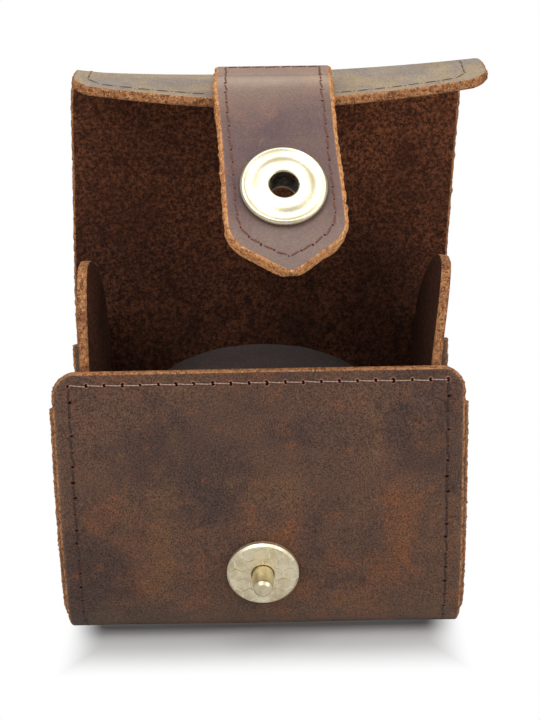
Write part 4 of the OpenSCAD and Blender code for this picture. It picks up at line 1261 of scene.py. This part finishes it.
class CASE_OT_stage(bpy.types.Operator):
    """Set the floor, the lights and the camera"""
    bl_idname = "case.stage"
    bl_label = "Stage"

    def execute(self, context):
        scene = context.scene
        scene.view_settings.view_transform = "Standard"
        self.floor()
        self.sky(scene)
        self.lamp("key", (-0.7, -1.2, 1.5), 1.1, 13.0)
        self.lamp("fill", (1.3, -1.0, 0.8), 1.2, 7.0)
        self.lamp("top", (0.2, -0.6, 1.8), 1.2, 12.0)
        self.camera(scene)
        return {"FINISHED"}

    def floor(self):
        """A pale floor under the case, which the camera sees as white a little way round it."""
        mesh = bpy.data.meshes.new("floor")
        mesh.from_pydata([(-3, -3, 0), (3, -3, 0), (3, 3, 0), (-3, 3, 0)], [], [(0, 1, 2, 3)])
        obj = bpy.data.objects.new("floor", mesh)
        bpy.context.scene.collection.objects.link(obj)
        t = Surface("pale_floor")
        x, y, _ = t.put(t.tree.nodes.new("ShaderNodeSeparateXYZ"), {0: t.place()})
        white = t.maths("MAXIMUM", t.span(y, -0.022, -0.038), t.span(y, -0.014, 0.002))
        white = t.maths("MAXIMUM", white, t.span(t.maths("ABSOLUTE", x), 0.037, 0.047))
        white = t.maths("MULTIPLY", white, t.add("ShaderNodeLightPath", {}, "Is Camera Ray"))
        mesh.materials.append(t.done({
            "Base Color": t.mix(white, (0.62, 0.62, 0.62, 1), (0, 0, 0, 1)), "Roughness": 0.8,
            "Specular IOR Level": 0.0, "Emission Color": (1, 1, 1, 1), "Emission Strength": white}))

    def sky(self, scene):
        """A white sky that is half as bright on the case as the camera sees it."""
        scene.world = bpy.data.worlds.new("studio")
        scene.world.use_nodes = True
        t = Tree(scene.world.node_tree)
        path = t.tree.nodes.new("ShaderNodeLightPath").outputs
        seen = t.maths("MAXIMUM", path["Is Camera Ray"], path["Is Transmission Ray"])
        t.put(t.tree.nodes["Background"], {
            "Color": (1, 1, 1, 1), "Strength": t.maths("MAXIMUM", seen, 0.5)})

    def stand(self, name, data, place, x, y, z):
        """Adds a lamp or camera at a place, with its own x, y and z along three directions."""
        obj = bpy.data.objects.new(name, data)
        obj.matrix_world = Matrix([*zip(x, y, z, place), (0, 0, 0, 1)])
        bpy.context.scene.collection.objects.link(obj)
        return obj

    def lamp(self, name, place, width, power):
        """A square lamp that looks at the middle of the case."""
        light = bpy.data.lights.new(name, "AREA")
        light.size, light.energy = width, power
        z = unit(np.array(place) - [0, 0, 0.06])
        x = unit(np.cross([0, 0, 1.0], z))
        self.stand(name, light, place, x, np.cross(z, x), z)

    def camera(self, scene):
        """Level yaw, downward pitch, and a small roll of the picture to the left."""
        yaw, pitch, roll = -0.467, 17.69, 1.212
        right = np.array([cos(yaw), -sin(yaw), 0])
        up = np.array([sin(yaw) * sin(pitch), cos(yaw) * sin(pitch), cos(pitch)])
        back = -np.array([sin(yaw) * cos(pitch), cos(yaw) * cos(pitch), -sin(pitch)])
        camera = bpy.data.cameras.new("camera")
        camera.sensor_fit, camera.sensor_height, camera.lens = "VERTICAL", 36.0, 88.5
        camera.clip_start, camera.clip_end = 0.01, 20
        x, y = cos(roll) * right - sin(roll) * up, sin(roll) * right + cos(roll) * up
        scene.camera = self.stand("camera", camera, (0.00566, -0.3905, 0.18583), x, y, back)


STEPS = (CASE_OT_wrap, CASE_OT_sides, CASE_OT_strap, CASE_OT_stitches, CASE_OT_snap, CASE_OT_cushion,
         CASE_OT_stage)


class CASE_PT_panel(bpy.types.Panel):
    """The case's settings and pieces"""
    bl_label = "Watch case"
    bl_idname = "CASE_PT_panel"
    bl_space_type = "VIEW_3D"
    bl_region_type = "UI"
    bl_category = "Watch case"

    def draw(self, context):
        for group in (context.scene.case_colours, context.scene.case_sizes):
            box = self.layout.box()
            for key in group.bl_rna.properties.keys():
                if key not in ("rna_type", "name"):
                    box.prop(group, key)
        for step in STEPS:
            self.layout.operator(step.bl_idname)


CLASSES = (CaseColours, CaseSizes, *STEPS, CASE_PT_panel)


def register():
    for c in CLASSES:
        bpy.utils.register_class(c)
    bpy.types.Scene.case_colours = bpy.props.PointerProperty(type=CaseColours)
    bpy.types.Scene.case_sizes = bpy.props.PointerProperty(type=CaseSizes)


def unregister():
    del bpy.types.Scene.case_sizes
    del bpy.types.Scene.case_colours
    for c in reversed(CLASSES):
        bpy.utils.unregister_class(c)


def main():
    """Makes the pieces and the stage in order."""
    register()
    bpy.ops.case.wrap()
    bpy.ops.case.sides()
    bpy.ops.case.strap()
    bpy.ops.case.stitches()
    bpy.ops.case.snap()
    bpy.ops.case.cushion()
    bpy.ops.case.stage()


if __name__ == "__main__":
    main()
